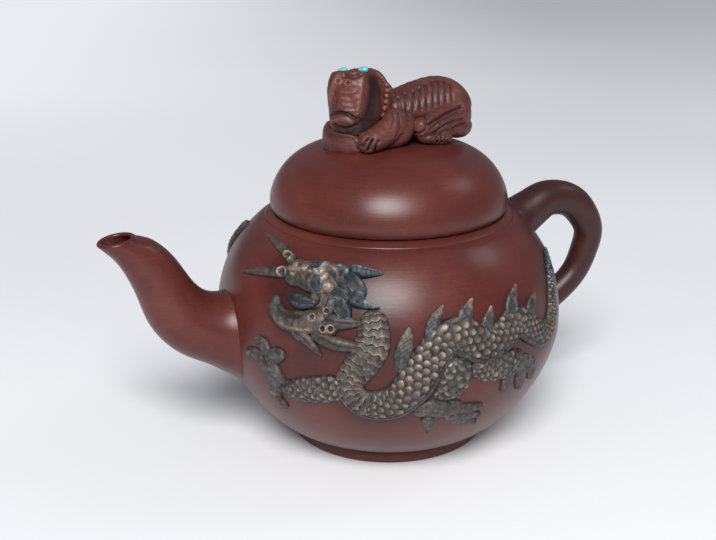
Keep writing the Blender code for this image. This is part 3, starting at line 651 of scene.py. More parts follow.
def tooled(points, marks):
    """Depth of tool marks at each point, from places in millimetres.

    A mark is (kind, places, size, height). A bead is a dome, a ring has a pit in it, and a line is a
    ridge, or a cut where its height is negative.
    """
    total = np.zeros(len(points))
    for kind, places, size, height in marks:
        places = np.array(places, dtype=float) / 1000
        if kind == "line":
            path = curve_at(places, np.linspace(0, 1, 8 * len(places)))
            nearest = np.full(len(points), 1.0)
            for first, second in zip(path, path[1:]):
                step = second - first
                part = np.clip(((points - first) @ step) / max(step @ step, 1e-12), 0, 1)
                nearest = np.minimum(nearest, lengths(points - first - part[:, None] * step)[:, 0])
            total += height * np.exp(-(nearest / size) ** 2)
            continue
        for centre in places:
            away = lengths(points - centre)[:, 0] / size
            if kind == "bead":
                total += height * np.sqrt(np.maximum(1 - away ** 2, 0))
            else:
                crest = np.exp(-((away - ring_crest) / ring_crest_width) ** 2)
                total += height * crest - height * np.exp(-(away / ring_pit_width) ** 2)
    return total


def hand_dents(points):
    """Height of the small dents that fingers leave, at each point."""
    x, y, z = points.T
    dents = np.sin(1900 * x + 1300 * z) + np.sin(1700 * y - 900 * z + 1.3) * np.sin(1100 * x + 800 * y)
    return dent_height * dents


def pressed_together(forms, grain=tiger_grain):
    """Press lumps of clay into one form and smooth the joints."""
    raw = new_piece("lump", together(*forms), modelled_clay)
    step = raw.modifiers.new("press together", "REMESH")
    step.mode = "VOXEL"
    step.voxel_size = grain
    one_mesh = bpy.data.meshes.new_from_object(raw.evaluated_get(bpy.context.evaluated_depsgraph_get()))
    bpy.data.objects.remove(raw, do_unlink=True)
    form = bmesh.new()
    form.from_mesh(one_mesh)
    bpy.data.meshes.remove(one_mesh)
    for _ in range(joint_smoothings):
        bmesh.ops.smooth_vert(form, verts=form.verts, factor=0.5,
                              use_axis_x=True, use_axis_y=True, use_axis_z=True)
    form.normal_update()
    return form


def corners_of(form):
    """The points of a form and the ways out of it."""
    return np.array([corner.co for corner in form.verts]), np.array([corner.normal for corner in form.verts])


def found(surface, spot):
    """The place on a surface that a point of the photograph shows, or the nearest to its ray."""
    pixel = camera_sensor / photo_width
    across, down = spot
    way = Vector(((across - photo_width / 2) * pixel, (photo_height / 2 - down) * pixel, -camera_lens))
    way = (camera_angles.to_matrix() @ way).normalized()
    place = surface.ray_cast(camera_place, way)[0]
    if place is None:
        tries = [surface.find_nearest(camera_place + way * float(away)) for away in ray_distances]
        place = min(tries, key=lambda near: near[3])[0]
    return place


def read_marks(form, marks, place_in=tiger_place):
    """Marks with their places on a plain form, to a tenth of a millimetre of the tiger's own frame."""
    points, ways = corners_of(form)
    plain = form.copy()
    for corner, place in zip(plain.verts, place_in(points + ways * hand_dents(points)[:, None])):
        corner.co = place
    surface = BVHTree.FromBMesh(plain)
    plain.free()
    start = place_in(np.zeros((1, 3)))[0]
    axes = place_in(np.eye(3)) - start
    read = []
    for kind, spots, size, height in marks:
        places = np.array([found(surface, spot) for spot in spots])
        read.append((kind, np.round((places - start) @ axes.T * 1000, 1), size, height))
    return read


def modelled(name, form, marks, place_in=tiger_place, painted_shade_at=None):
    """Cut the tool marks in a form, paint shade in the cuts, leave small dents, and put it in its place."""
    points, ways = corners_of(form)
    depth = tooled(points, marks)
    # Painted shade: the clay is darkened down in the cut marks, and by any extra shade passed in; it is paler
    # on beads and ridges as wear.
    tone = 0.5 + depth / cut_shade_and_wear_depth + (painted_shade_at(points) if painted_shade_at else 0)
    placed = place_in(points + ways * (depth + hand_dents(points))[:, None])
    layer = form.verts.layers.float.get("relief") or form.verts.layers.float.new("relief")
    for corner, place, value in zip(form.verts, placed, np.clip(tone, 0, 1)):
        corner.co = place
        corner[layer] = value
    return new_piece(name, form, modelled_clay)


torso_shares = [
    (-0.10, 0.10, 0.42, 0.50, 0.20),
    (0.02, 0.05, 0.42, 0.74, 0.24),
    (0.20, 0, 0.43, 0.86, 0.285),
    (0.42, 0, 0.45, 0.94, 0.325),
    (0.62, 0, 0.45, 0.98, 0.350),
    (0.76, 0, 0.39, 0.96, 0.340),
    (0.88, 0, 0.30, 0.80, 0.270),
    (0.95, 0, 0.23, 0.42, 0.170),
]
stripe_spots = [
    (413, 91, 1.0, 108),
    (419, 88, 1.5, 109),
    (425, 84, 2.0, 108),
    (431, 81, 2.5, 106),
    (437, 80, 2.5, 104),
    (443, 80, 3.0, 102),
    (449, 83, 3.0, 100),
]
# The stripes are cut grooves, and their dark tone is painted shade in the cuts.
torso_marks = []
for across, top, lean, foot in stripe_spots:
    stripe = [(across, top), (across + lean, (top + foot) / 2), (across + 1.2 * lean, foot)]
    torso_marks.append(("line", stripe, 0.0007, -0.00055))
for shoulder_stripe in ([(398, 98), (400, 107), (399, 117)], [(405, 94), (407, 103), (406, 113)]):
    torso_marks.append(("line", shoulder_stripe, 0.0007, -0.0004))
torso_form = pressed_together([tiger_form(torso_shares, 120, 96, 0.004)])
tiger_torso = modelled("tiger_torso", torso_form, read_marks(torso_form, torso_marks))
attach(tiger_torso, "lid")
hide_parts("tiger_body")

# The tiger's hind legs: folded beside the rump, each a thigh with a paw that lies forward. The far one
# isn't seen, so it is the near one mirrored, with the same marks.
thigh_shares = [
    (0.90, -0.52, 0.30, 0.30, 0.17),
    (0.74, -0.74, 0.30, 0.42, 0.235),
    (0.50, -0.86, 0.27, 0.42, 0.20),
    (0.32, -0.93, 0.235, 0.34, 0.15),
    (0.18, -0.92, 0.225, 0.30, 0.13),
    (0.11, -0.88, 0.215, 0.20, 0.09),
]
knee_shares = [
    (0.11, -1.02, 0.235, 0.16, 0.095),
    (0.20, -1.06, 0.235, 0.22, 0.125),
    (0.29, -1.02, 0.235, 0.16, 0.095),
]
shank_shares = [
    (0.20, -0.94, 0.20, 0.20, 0.09),
    (0.24, -0.98, 0.12, 0.24, 0.10),
    (0.34, -1.04, 0.075, 0.28, 0.09),
    (0.46, -1.08, 0.06, 0.30, 0.09),
    (0.58, -1.04, 0.055, 0.26, 0.08),
]
rump_shares = [
    (0.52, -0.90, 0.16, 0.20, 0.08),
    (0.66, -0.88, 0.14, 0.30, 0.12),
    (0.80, -0.74, 0.14, 0.34, 0.14),
    (0.92, -0.46, 0.14, 0.26, 0.12),
]
haunch_marks = [
    ("line", [(462, 106), (450, 111), (438, 118), (429, 124)], 0.0005, -0.0008),
    ("line", [(459, 112), (449, 117), (440, 122), (431, 129)], 0.0005, -0.0005),
    ("line", [(463, 119), (452, 122), (444, 126), (436, 132)], 0.0005, -0.0006),
    ("line", [(411, 122), (412, 130), (418, 134), (425, 131), (427, 123), (423, 116), (415, 116)],
     0.0005, -0.0007),
    ("line", [(437, 137), (437, 143)], 0.00045, -0.0009),
    ("line", [(441.5, 137), (441.5, 143)], 0.00045, -0.0009),
    ("line", [(446, 137), (446, 143)], 0.00045, -0.0009),
    ("line", [(452, 129), (459, 125), (465, 124)], 0.0005, -0.0006),
    ("line", [(427, 137), (433, 134), (443, 134)], 0.0005, -0.0005),
]
haunch_shares = (thigh_shares, knee_shares, shank_shares, rump_shares)
haunch_read = []
for side_name, flip in (("near", False), ("far", True)):
    lumps = [mirrored(rows) if flip else rows for rows in haunch_shares]
    haunch_form = pressed_together([tiger_form(rows, 64, 48, 0.0026) for rows in lumps])
    if flip:
        haunch_read = [(kind, mirrored(places), size, height) for kind, places, size, height in haunch_read]
    else:
        haunch_read = read_marks(haunch_form, haunch_marks)
    hind_leg = modelled("tiger_haunch_" + side_name, haunch_form, haunch_read)
    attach(hind_leg, "lid")
    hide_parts("tiger_hind_leg_" + side_name)

# The tiger's forelegs: the near one comes down from a broad shoulder beside the chest to a paw with
# four toes, and the far one lies crosswise under the chin.
near_foreleg_shares = [
    (0.00, -0.55, 0.42, 0.30, 0.16),
    (-0.06, -0.72, 0.34, 0.42, 0.19),
    (-0.16, -0.84, 0.25, 0.44, 0.17),
    (-0.32, -0.92, 0.17, 0.44, 0.16),
    (-0.45, -0.92, 0.125, 0.44, 0.145),
    (-0.57, -0.88, 0.10, 0.40, 0.125),
]
shoulder_shares = [
    (0.06, -0.40, 0.40, 0.42, 0.20),
    (0.02, -0.62, 0.28, 0.48, 0.20),
    (-0.04, -0.74, 0.16, 0.46, 0.16),
    (-0.20, -0.62, 0.12, 0.48, 0.15),
    (-0.40, -0.42, 0.12, 0.50, 0.15),
]
far_foreleg_shares = [
    (-0.30, 0.86, 0.24, 0.24, 0.12),
    (-0.46, 0.84, 0.16, 0.42, 0.13),
    (-0.60, 0.66, 0.105, 0.50, 0.125),
    (-0.66, 0.30, 0.080, 0.50, 0.115),
    (-0.64, -0.15, 0.070, 0.46, 0.110),
    (-0.56, -0.55, 0.068, 0.36, 0.100),
    (-0.50, -0.72, 0.07, 0.24, 0.09),
]
near_arm_marks = [
    ("line", [(368, 138), (364.5, 142), (362, 147)], 0.00045, -0.001),
    ("line", [(373, 139), (370, 145), (367.5, 151)], 0.00045, -0.001),
    ("line", [(379, 141), (377, 146), (374, 152)], 0.00045, -0.001),
    ("line", [(398, 112), (400, 124), (397, 136)], 0.0008, -0.0004),
    ("line", [(391, 112), (393, 120), (391, 128)], 0.0005, -0.0003),
    ("bead", [(364, 149), (370, 151.5), (363, 143)], 0.0008, 0.0003),
]
far_arm_marks = [
    ("line", [(330, 134), (340, 137), (352, 139)], 0.0008, -0.0004),
    ("line", [(355, 143), (359, 149)], 0.0005, -0.0005),
    ("line", [(324, 140), (328, 149)], 0.0006, -0.0003),
]
near_form = pressed_together([tiger_form(near_foreleg_shares, 64, 48, 0.003),
                              tiger_form(shoulder_shares, 64, 48, 0.004)])
near_arm = modelled("tiger_arm_near", near_form, read_marks(near_form, near_arm_marks))
far_form = pressed_together([tiger_form(far_foreleg_shares, 80, 64, 0.003, (0, 0, 1), roundness=0.8)])
far_arm = modelled("tiger_arm_far", far_form, read_marks(far_form, far_arm_marks))
for foreleg, node in ((near_arm, "tiger_foreleg_near"), (far_arm, "tiger_foreleg_far")):
    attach(foreleg, "lid")
    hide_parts(node)

# The tiger's head: a tall rounded block with a flat brow, a short blunt muzzle and painted shade under the
# chin.
# Nostrils are pressed as rings, and whiskers are low ridges on the muzzle.
head_shares = [
    (-0.53, 0, 0.10, 0.30, 0.36),
    (-0.52, 0, 0.13, 0.52, 0.56),
    (-0.50, 0, 0.22, 0.68, 0.76),
    (-0.46, 0, 0.34, 0.76, 0.92),
    (-0.44, 0, 0.58, 0.80, 1.00),
    (-0.43, 0, 0.79, 0.78, 0.98),
    (-0.42, 0, 0.91, 0.69, 0.84),
    (-0.41, 0, 0.96, 0.60, 0.68),
]
muzzle_shares = [
    (-0.50, 0.06, 0.20, 0.52, 0.62),
    (-0.52, 0.06, 0.36, 0.68, 0.82),
    (-0.50, 0.04, 0.58, 0.66, 0.86),
    (-0.48, 0.04, 0.76, 0.60, 0.80),
    (-0.44, 0.04, 0.86, 0.50, 0.62),
]
head_sizes = (head_half_width, head_half_depth)
face_marks = [
    # The first mark is a broad shallow hollow on the side of the face; its dark tone is painted shade.
    ("line", [(375, 82), (375, 96), (371, 112), (365, 125)], 0.0034, -0.0011),
    ("line", [(362, 77), (361, 90), (359, 104), (356, 118)], 0.0007, 0.0005),
    ("ring", [(338.5, 81), (348, 83)], 0.0014, 0.0006),
    ("line", [(341, 92), (349, 93), (356, 91)], 0.00045, 0.0004),
    ("line", [(342, 98), (350, 100), (357, 97)], 0.00045, 0.0004),
    ("line", [(343, 104), (351, 106), (357, 103)], 0.00045, 0.0004),
    ("line", [(345, 110), (352, 111), (357, 110)], 0.00045, 0.0004),
    ("line", [(329, 115), (337, 112.5), (346, 114), (357, 119)], 0.0006, -0.001),
    ("line", [(331, 121), (342, 119), (352, 123)], 0.0009, 0.0005),
    ("line", [(337, 77), (333, 86), (331, 100)], 0.0009, 0.0005),
    ("line", [(336, 126), (345, 129), (356, 126)], 0.0006, -0.0005),
    ("line", [(334, 92), (336, 100), (335, 108)], 0.0005, -0.0003),
    ("line", [(345, 75), (353, 77), (360, 75)], 0.0008, -0.0006),
]


def chin_painted_shade(points):
    """Painted shade under the chin and on the throat."""
    return -0.28 * np.clip((0.38 * tiger_height - points[:, 2]) / 0.0012, 0, 1)


head_lump = tiger_form(head_shares, 120, 112, 0.0022, widths=head_sizes, roundness=0.66)
muzzle_lump = tiger_form(muzzle_shares, 80, 80, 0.0030, widths=head_sizes, roundness=0.8)
face_form = pressed_together([head_lump, muzzle_lump], head_grain)
face_read = read_marks(face_form, face_marks, head_place)
tiger_face = modelled("tiger_face", face_form, face_read, head_place, chin_painted_shade)
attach(tiger_face, "lid")
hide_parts("tiger_head")

# The ruff: a round plate of hair behind the face, with a row of small beads along its edge. A second
# plate behind it joins it to the neck.
ruff_half_width = 0.0106
ruff_half_height = 0.0105
ruff_thickness = 0.0030
ruff_middle = 0.60 * tiger_height
ruff_front = 0.55 * head_half_depth
neck_hair_back = 0.0024
neck_hair_half_width = 0.0114
neck_hair_half_height = 0.0098
neck_hair_middle = 0.50 * tiger_height
lock_count = 44
lock_depth = 0.012
plate_squareness = 0.72
ruff_beads = [(386.7, 84.8), (387, 90.5), (386.4, 96), (385.6, 102), (384.4, 108.8), (382.9, 116),
              (379.5, 123)]
ruff_marks = [
    ("bead", ruff_beads, 0.0009, 0.0007),
    ("line", [(391, 94), (392, 104), (391, 114)], 0.0005, -0.0004),
]


def ruff_lump(rows, columns, back, half_width, half_height, middle):
    """A thick plate with rounded corners and a finely waved edge, across the neck."""
    def place(row, turn):
        share = even_rows(row, rows)
        angle = 2 * pi * turn
        edge = np.sqrt(np.maximum(1 - np.abs(2 * share - 1) ** 5, 0))
        edge = edge * (1 + lock_depth * np.cos(lock_count * angle))
        x = head_pivot_share * tiger_reach + ruff_front + back + ruff_thickness * share
        y = half_width * edge * np.sign(np.cos(angle)) * np.abs(np.cos(angle)) ** plate_squareness
        z = np.sign(np.sin(angle)) * np.abs(np.sin(angle)) ** plate_squareness
        z = middle + half_height * edge * z
        return np.stack([x + 0 * angle, y, z], -1), {"relief": np.full(len(row), 0.5)}

    return rolled(rows, columns, place)


ruff_plate = ruff_lump(40, 220, 0, ruff_half_width, ruff_half_height, ruff_middle)
neck_hair = ruff_lump(40, 220, neck_hair_back, neck_hair_half_width, neck_hair_half_height,
                      neck_hair_middle)
collar_form = pressed_together([ruff_plate, neck_hair], head_grain)
tiger_collar = modelled("tiger_collar", collar_form, read_marks(collar_form, ruff_marks, head_place),
                        head_place)
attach(tiger_collar, "lid")
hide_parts("tiger_ruff")

# The tiger's tail: a thin roll of clay of one thickness, curled round the rump from the far side to the
# near one.
tail_half_width = 0.17
tail_half_height = 0.069
tail_shares = [(0.76, 0.66, 0.13), (0.86, 0.34, 0.11), (0.90, -0.10, 0.09), (0.86, -0.50, 0.10),
               (0.81, -0.80, 0.14), (0.73, -1.00, 0.20)]
tail_rows = [(*place, tail_half_width, tail_half_height) for place in tail_shares]
tail_form = pressed_together([tiger_form(tail_rows, 80, 32, 0.0018, (0, 0, 1))])
tiger_curl = modelled("tiger_curled_tail", tail_form, [])
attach(tiger_curl, "lid")
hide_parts("tiger_tail")

# The tiger's eyes: two flattened beads of turquoise glaze set at the edge of the brow, one each side of
# the nose.
eye_sizes = (0.0015, 0.0019, 0.0011)
eye_depth_share = 0.10
eye_side_share = 0.39
eye_height_share = 0.985
turquoise_dark = (0.06, 0.36, 0.47, 1)
turquoise_light = (0.20, 0.60, 0.66, 1)
turquoise_bead, bead_wire, bead_shader = start_material("turquoise_bead")
bead_place = bead_wire.node("TexCoord", {}, {}, "Object")
bead_cloud = bead_wire.node("TexNoise", {}, {"Vector": bead_place, "Scale": 700, "Detail": 3})
join(bead_cloud.between(0.3, 0.7).mix(turquoise_dark, turquoise_light), bead_shader, "Base Color")
join(0.14 + bead_cloud * 0.14, bead_shader, "Roughness")
for eye_name, way in (("near", -1), ("far", 1)):
    def place_eye(row, turn, way=way):
        tilt = pi * (row / 24 - 0.5)
        angle = 2 * pi * turn
        level = np.sign(np.sin(tilt)) * np.abs(np.sin(tilt)) ** 0.9
        point = np.stack([np.cos(tilt) * np.cos(angle), np.cos(tilt) * np.sin(angle), level], -1)
        middle = [head_pivot_share * tiger_reach + eye_depth_share * head_half_depth,
                  way * eye_side_share * head_half_width, eye_height_share * tiger_height]
        return head_place(point * eye_sizes + middle), {"relief": np.full(len(row), 0.5)}

    tiger_bead = new_piece("tiger_bead_" + eye_name, rolled(24, 32, place_eye), turquoise_bead)
    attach(tiger_bead, "lid")
    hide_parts("tiger_eye_" + eye_name)

# The dragons: one on each side, the second the same as the first turned half round. Each was pressed
# from a mould in pieces of clay, stuck on the body and painted with bronze slip that is worn to tan on
# its edges. Rows are (along, up, share of the half width): 0 is the spout, 1 the handle or the rim.
coil_half_width = 0.0072
coil_height = 0.0028
thin_share = 0.25
joint_depth = 0.0005
crown_part = 0.86
mould_tone_depth = 0.0011
sides = (("front", 0), ("back", pi))
bronze_ramp = [
    (0.0, (0.006, 0.0045, 0.0045, 1)),
    (0.3, (0.029, 0.022, 0.020, 1)),
    (0.55, (0.074, 0.057, 0.049, 1)),
    (0.8, (0.160, 0.122, 0.094, 1)),
    (1.0, (0.32, 0.245, 0.185, 1)),
]
crest_ramp = [
    (0.0, (0.005, 0.006, 0.008, 1)),
    (0.45, (0.018, 0.024, 0.032, 1)),
    (0.75, (0.085, 0.110, 0.135, 1)),
    (1.0, (0.36, 0.42, 0.46, 1)),
]


def painted_slip(name, main_ramp, other_ramp):
    """Thin slip over clay: dark in the recesses, worn pale on the edges, in cloudy patches."""
    material, wire, shader = start_material(name)
    place = wire.node("TexCoord", {}, {}, "Object")
    cloud = wire.node("TexNoise", {}, {"Vector": place, "Scale": 130, "Detail": 4, "Roughness": 0.6})
    patch = wire.node("TexNoise", {}, {"Vector": place, "Scale": 75, "Detail": 2})
    grain = wire.node("TexNoise", {}, {"Vector": place, "Scale": 1700, "Detail": 3, "Roughness": 0.7})
    relief = wire.node("Attribute", {"attribute_name": "relief"}, {}, "Fac")
    crest = wire.node("Attribute", {"attribute_name": "crest"}, {}, "Fac")
    mottle = wire.node("TexNoise", {}, {"Vector": place, "Scale": 520, "Detail": 4, "Roughness": 0.65})
    blot = wire.node("TexVoronoi", {"feature": "SMOOTH_F1"},
                     {"Vector": place, "Scale": 480, "Smoothness": 0.4})
    tone = relief + (cloud - 0.5) * 0.5 + (grain - 0.5) * 0.35 + (mottle - 0.5) * 0.75 - (blot - 0.42) * 0.35
    main = wire.node("ValToRGB", {"stops": main_ramp}, {0: tone})
    other = wire.node("ValToRGB", {"stops": other_ramp}, {0: tone})
    green = (patch.between(0.5, 0.66) * 0.45).mix(main, (0.043, 0.044, 0.035, 1))
    lilac = ((1 - patch.between(0.34, 0.46)) * 0.4).mix(green, (0.066, 0.050, 0.058, 1))
    join(crest.mix(lilac, other), shader, "Base Color")
    join(0.52 - (relief - 0.5) * 0.2 + (cloud - 0.5) * 0.2, shader, "Roughness")
    join(0.08 + relief.between(0.4, 0.9) * 0.25, shader, "Metallic")
    rough = grain * 0.6 + mottle - blot * 0.5
    bump = wire.node("Bump", {}, {"Height": rough, "Strength": 0.45, "Distance": 0.0004})
    join(bump, shader, "Normal")
    return material


bronze_slip = painted_slip("worn_bronze_slip", bronze_ramp, crest_ramp)


def on_wall(along, up, lift=0.0):
    """Points at two shares on the body, lifted off its wall."""
    height = up * rim_height
    angle = (along - 1) * pi
    probe = 0.0002
    slope = (body_radius_at(height + probe) - body_radius_at(height - probe)) / (2 * probe)
    normal = np.stack([np.cos(angle), np.sin(angle), -slope], -1)
    normal = normal / lengths(normal)
    radius = body_radius_at(height)
    point = np.stack([radius * np.cos(angle), radius * np.sin(angle), height], -1)
    return point + normal * np.broadcast_to(lift, np.shape(along))[..., None]


def pressed(points, surface, marks):
    """Depth of the mould's marks at each point, with places given on the surface.

    A mark is (kind, places, size, height). A bead is a dome, a ring has a pit in it, a curl is a
    spiral and a line is a ridge, or a cut where its height is negative.
    """
    total = np.zeros(len(points))
    for kind, places, size, height in marks:
        spots = surface(*np.array(places, dtype=float).T)
        if kind != "curl":
            total += tooled(points, [(kind, spots * 1000, size, height)])
            continue
        for first, second in places:
            centre, east, north = surface(np.array([first, first + 0.004, first]),
                                          np.array([second, second, second + 0.004]))
            apart = points - centre
            away = lengths(apart)[:, 0] / size
            angle = np.arctan2(apart @ (north - centre), apart @ (east - centre))
            wave = np.cos(angle - 9 * away) * np.maximum(1 - away ** 2, 0)
            total += height * np.where(away < 1, wave, 0)
    return total


def round_scales(a, b):
    """Overlapping round scales in staggered rows: how high, and how worn, at each place."""
    high = np.zeros(len(a))
    worn = np.full(len(a), 0.0)
    for back in (1, 0, -1):
        row = np.floor(a) - back
        stagger = 0.5 * np.mod(row, 2)
        column = np.round(b - stagger) + stagger
        x, y = (a - row) / 1.32, (b - column) / 0.56
        away = np.where(x > 0, x ** 2, 0.3 * x ** 2) + np.abs(y) ** 2.4
        odd = np.sin(row * 12.9898 + column * 78.233) * 43758.5453
        odd = odd - np.floor(odd)
        level = (0.18 + 0.82 * np.clip(x, 0, 1) ** 0.8) * (1 - 0.45 * np.abs(y) ** 2) * (0.86 + 0.28 * odd)
        level = level * np.clip((1 - away) / 0.12, 0, 1) ** 0.5
        shade = np.clip(1.35 * x - 0.1, 0, 1) * (1 - 0.55 * np.abs(y) ** 2) + 0.2 * (odd - 0.5)
        top = (away < 1) & (level > high)
        high = np.where(top, level, high)
        worn = np.where(top, shade, worn)
    return high, worn


def wavy_plates(a, b):
    """Broad plates across the neck, each with a wavy free edge over a dark step."""
    run = a + 0.13 * np.cos(2 * pi * b) + 0.07 * np.cos(2 * pi * (0.57 * b + 0.31 * np.floor(a)))
    part = run - np.floor(run)
    worn = np.where(part > 0.12, 0.42 + 0.5 * np.clip((part - 0.45) / 0.5, 0, 1), 0.0)
    return 0.15 + 0.85 * part ** 0.7, worn


def raised(path, half_width, height, rows, columns, turned_by, marks=(), surface_work=None, dark_places=(),
           crest=0.0):
    """A domed strip of clay pressed on the wall along a path, with its tool marks.

    surface_work(across, pitch, share, along) gives the finer work at each place: its depth, tone and
    crest. Across goes from edge to edge, pitch is the run in half widths, and along is from the spout.
    """
    samples = np.linspace(0, 1, 500)
    line = curve_at(path, samples)
    spots = on_wall(line[:, 0], line[:, 1])
    steps = lengths(np.diff(spots, axis=0))[:, 0]
    run_at = np.concatenate([[0], np.cumsum(steps)])
    widths = line[:, 2] * half_width
    pitch_at = np.concatenate([[0], np.cumsum(steps / (0.5 * (widths[1:] + widths[:-1])))])
    length = run_at[-1]

    def place(row, turn):
        share = 0.8 * row / rows + 0.2 * even_rows(row, rows)
        run = np.interp(share, samples, run_at)
        here = curve_at(path, share)
        centre = on_wall(here[:, 0], here[:, 1])
        before, after = curve_at(path, share - 0.004), curve_at(path, share + 0.004)
        ahead = on_wall(after[:, 0], after[:, 1]) - on_wall(before[:, 0], before[:, 1])
        across_way = np.cross(on_wall(here[:, 0], here[:, 1], 0.001) - centre, ahead)
        across_way = across_way / np.maximum(lengths(across_way), 1e-12)
        end_size = np.where(share < 0.5, widths[0], widths[-1])
        near_end = np.clip(np.minimum(run, length - run) / end_size, 0, 1)
        closing = np.sqrt(1 - (1 - near_end) ** 2)
        width = here[:, 2] * half_width * closing
        crown = turn <= crown_part
        v = np.clip(turn / crown_part, 0, 1)
        across = np.where(crown, 0.65 * (2 * v - 1) - 0.35 * np.cos(pi * v),
                          1 - 2 * (turn - crown_part) / (1 - crown_part))
        spot = centre + across_way * (width * across)[:, None]
        along, up = 1 + np.arctan2(spot[:, 1], spot[:, 0]) / pi, spot[:, 2] / rim_height
        plain = on_wall(along, up)
        top = height * (thin_share + (1 - thin_share) * here[:, 2]) * np.sqrt(closing)
        dome = top * np.sqrt(np.maximum(1 - np.abs(across) ** 2.6, 0))
        work = pressed(plain, on_wall, marks)
        tone = 0.52 + work / mould_tone_depth
        slip_share = np.full(len(row), float(crest))
        if surface_work:
            pitch = np.interp(share, samples, pitch_at)
            depth, shade, more_crest = surface_work(across, pitch, share, along)
            work = work + depth
            tone = tone + shade
            slip_share = np.maximum(slip_share, more_crest)
        for spot_along, spot_up, size in dark_places:
            apart = lengths(plain - on_wall(np.array([spot_along]), np.array([spot_up])))[:, 0]
            dark = np.clip(2.6 - 2 * apart / size, 0, 1)
            slip_share = np.maximum(slip_share, dark)
            tone = tone + dark * (0.42 + 0.16 * (across > 0.5) - tone)
        fade = (1 - np.abs(across) ** 5) * np.sqrt(closing)
        tone = tone - 0.4 * np.clip((np.abs(across) - 0.9) / 0.1, 0, 1)
        lift = np.where(crown, dome + work * fade, -joint_depth)
        point = on_wall(along, up, lift)
        x = point[:, 0] * cos(turned_by) - point[:, 1] * sin(turned_by)
        y = point[:, 0] * sin(turned_by) + point[:, 1] * cos(turned_by)
        tones = {"relief": np.clip(tone, 0, 1), "crest": np.clip(slip_share, 0, 1)}
        return np.stack([x + axis_x, y, point[:, 2]], -1), tones

    return rolled(rows, columns, place)


def mould_piece(side, part, form):
    """Finish one pressed piece: it rides on the pot and stands for its own solid."""
    piece = new_piece(side + "_dragon_" + part, form, bronze_slip)
    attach(piece, "pot")
    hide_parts(side + "_" + part)
    return piece


# The coil: the dragon's neck, body and tail in one long roll, pressed all over with rounded scales
# that overlap towards the tail. Wider wavy plates cover the neck, and a smooth band runs under it.
coil_path = [
    (0.346, 0.790, 0.61), (0.352, 0.720, 0.75), (0.349, 0.655, 0.86), (0.334, 0.590, 0.83),
    (0.315, 0.520, 0.72), (0.318, 0.458, 0.72), (0.341, 0.415, 0.86), (0.372, 0.414, 0.94),
    (0.400, 0.447, 0.97), (0.425, 0.520, 1.00), (0.447, 0.600, 0.97), (0.466, 0.656, 0.89),
    (0.488, 0.680, 0.92), (0.512, 0.664, 0.94), (0.537, 0.630, 0.92), (0.561, 0.626, 0.86),
    (0.585, 0.648, 0.86), (0.607, 0.676, 0.83), (0.630, 0.676, 0.78), (0.656, 0.632, 0.75),
    (0.690, 0.588, 0.69), (0.722, 0.592, 0.61),
]
front_tail = [
    (0.740, 0.632, 0.54), (0.755, 0.695, 0.47), (0.776, 0.757, 0.39),
    (0.808, 0.812, 0.28), (0.846, 0.838, 0.08),
]
back_tail = [
    (0.750, 0.640, 0.56), (0.784, 0.706, 0.53), (0.818, 0.774, 0.50),
    (0.842, 0.840, 0.47), (0.848, 0.912, 0.28),
]
scale_depth = 0.0007
scale_pitch = 0.37
scale_columns = 2.25
plate_pitch = 0.44
plate_columns = 1.9
rib_pitch = 0.5
neck_share = 0.235
# How dark and how wide the painted shade on the body's clay round the dragons is.
relief_shade_strength = 0.42
relief_shade_edge = 0.004
relief_shade_reach = 0.0065


def coil_work(across, pitch, share, along):
    """Plates on the neck, then scales over the back and a ribbed band under it."""
    neck = share < neck_share
    drift = 0.10 * np.sin(pitch * 2.3) + 0.07 * np.sin(pitch * 5.1 + 4 * across)
    high, worn = round_scales(pitch / scale_pitch + drift, across * scale_columns + 0.6 * drift)
    plate_high, plate_worn = wavy_plates(pitch / plate_pitch, across * plate_columns)
    high, worn = np.where(neck, plate_high, high), np.where(neck, plate_worn, worn)
    belly = np.clip((-across - 0.60) / 0.05, 0, 1) * np.clip((share - 0.2) / 0.04, 0, 1)
    seam = np.exp(-((across + 0.62) / 0.045) ** 2) * (belly > 0)
    ribs = 0.5 + 0.5 * np.cos(2 * pi * pitch / rib_pitch)
    depth = scale_depth * ((high - 0.45) * (1 - belly) + 0.22 * ribs * belly - 0.5 * seam)
    tone = (worn - 0.5) * 0.95 * (1 - belly) + (ribs * 0.16 - 0.16) * belly - 0.35 * seam
    tail = np.clip((along - 0.745) / 0.02, 0, 1)
    crest = np.maximum(0.3 * belly, tail * np.clip((across + 0.25) / 0.2, 0.25, 1))
    return depth, tone, crest


for (side, turned_by), tail in zip(sides, (front_tail, back_tail)):
    coil = raised(coil_path + tail, coil_half_width, coil_height, 700, 64, turned_by, (), coil_work)
    mould_piece(side, "coil", coil)

# Painted shade on the body's clay round the dragons: darker next to the raised coil and head, fading out a
# few millimetres away.
coil_line = curve_at(coil_path + front_tail, np.linspace(0, 1, 120))
coil_spots = on_wall(coil_line[:, 0], coil_line[:, 1])
head_spots = on_wall(np.array([0.17, 0.20, 0.23, 0.26, 0.28, 0.20, 0.24, 0.30, 0.28, 0.24, 0.20]),
                     np.array([0.86, 0.84, 0.83, 0.83, 0.84, 0.74, 0.73, 0.72, 0.60, 0.55, 0.52]))
flow = np.concatenate([coil_spots, head_spots])
clay_points = np.array([corner.co for corner in thrown_body.data.vertices]) - [axis_x, 0, 0]
around = np.full(len(clay_points), 1.0)
for way in (1, -1):
    for spot in flow * [way, way, 1]:
        around = np.minimum(around, lengths(clay_points - spot)[:, 0])
relief_shade = 0.5 - relief_shade_strength * np.exp(-(np.maximum(around - relief_shade_edge, 0) / relief_shade_reach) ** 2)
thrown_body.data.attributes["relief"].data.foreach_set("value", relief_shade.astype(np.float32))

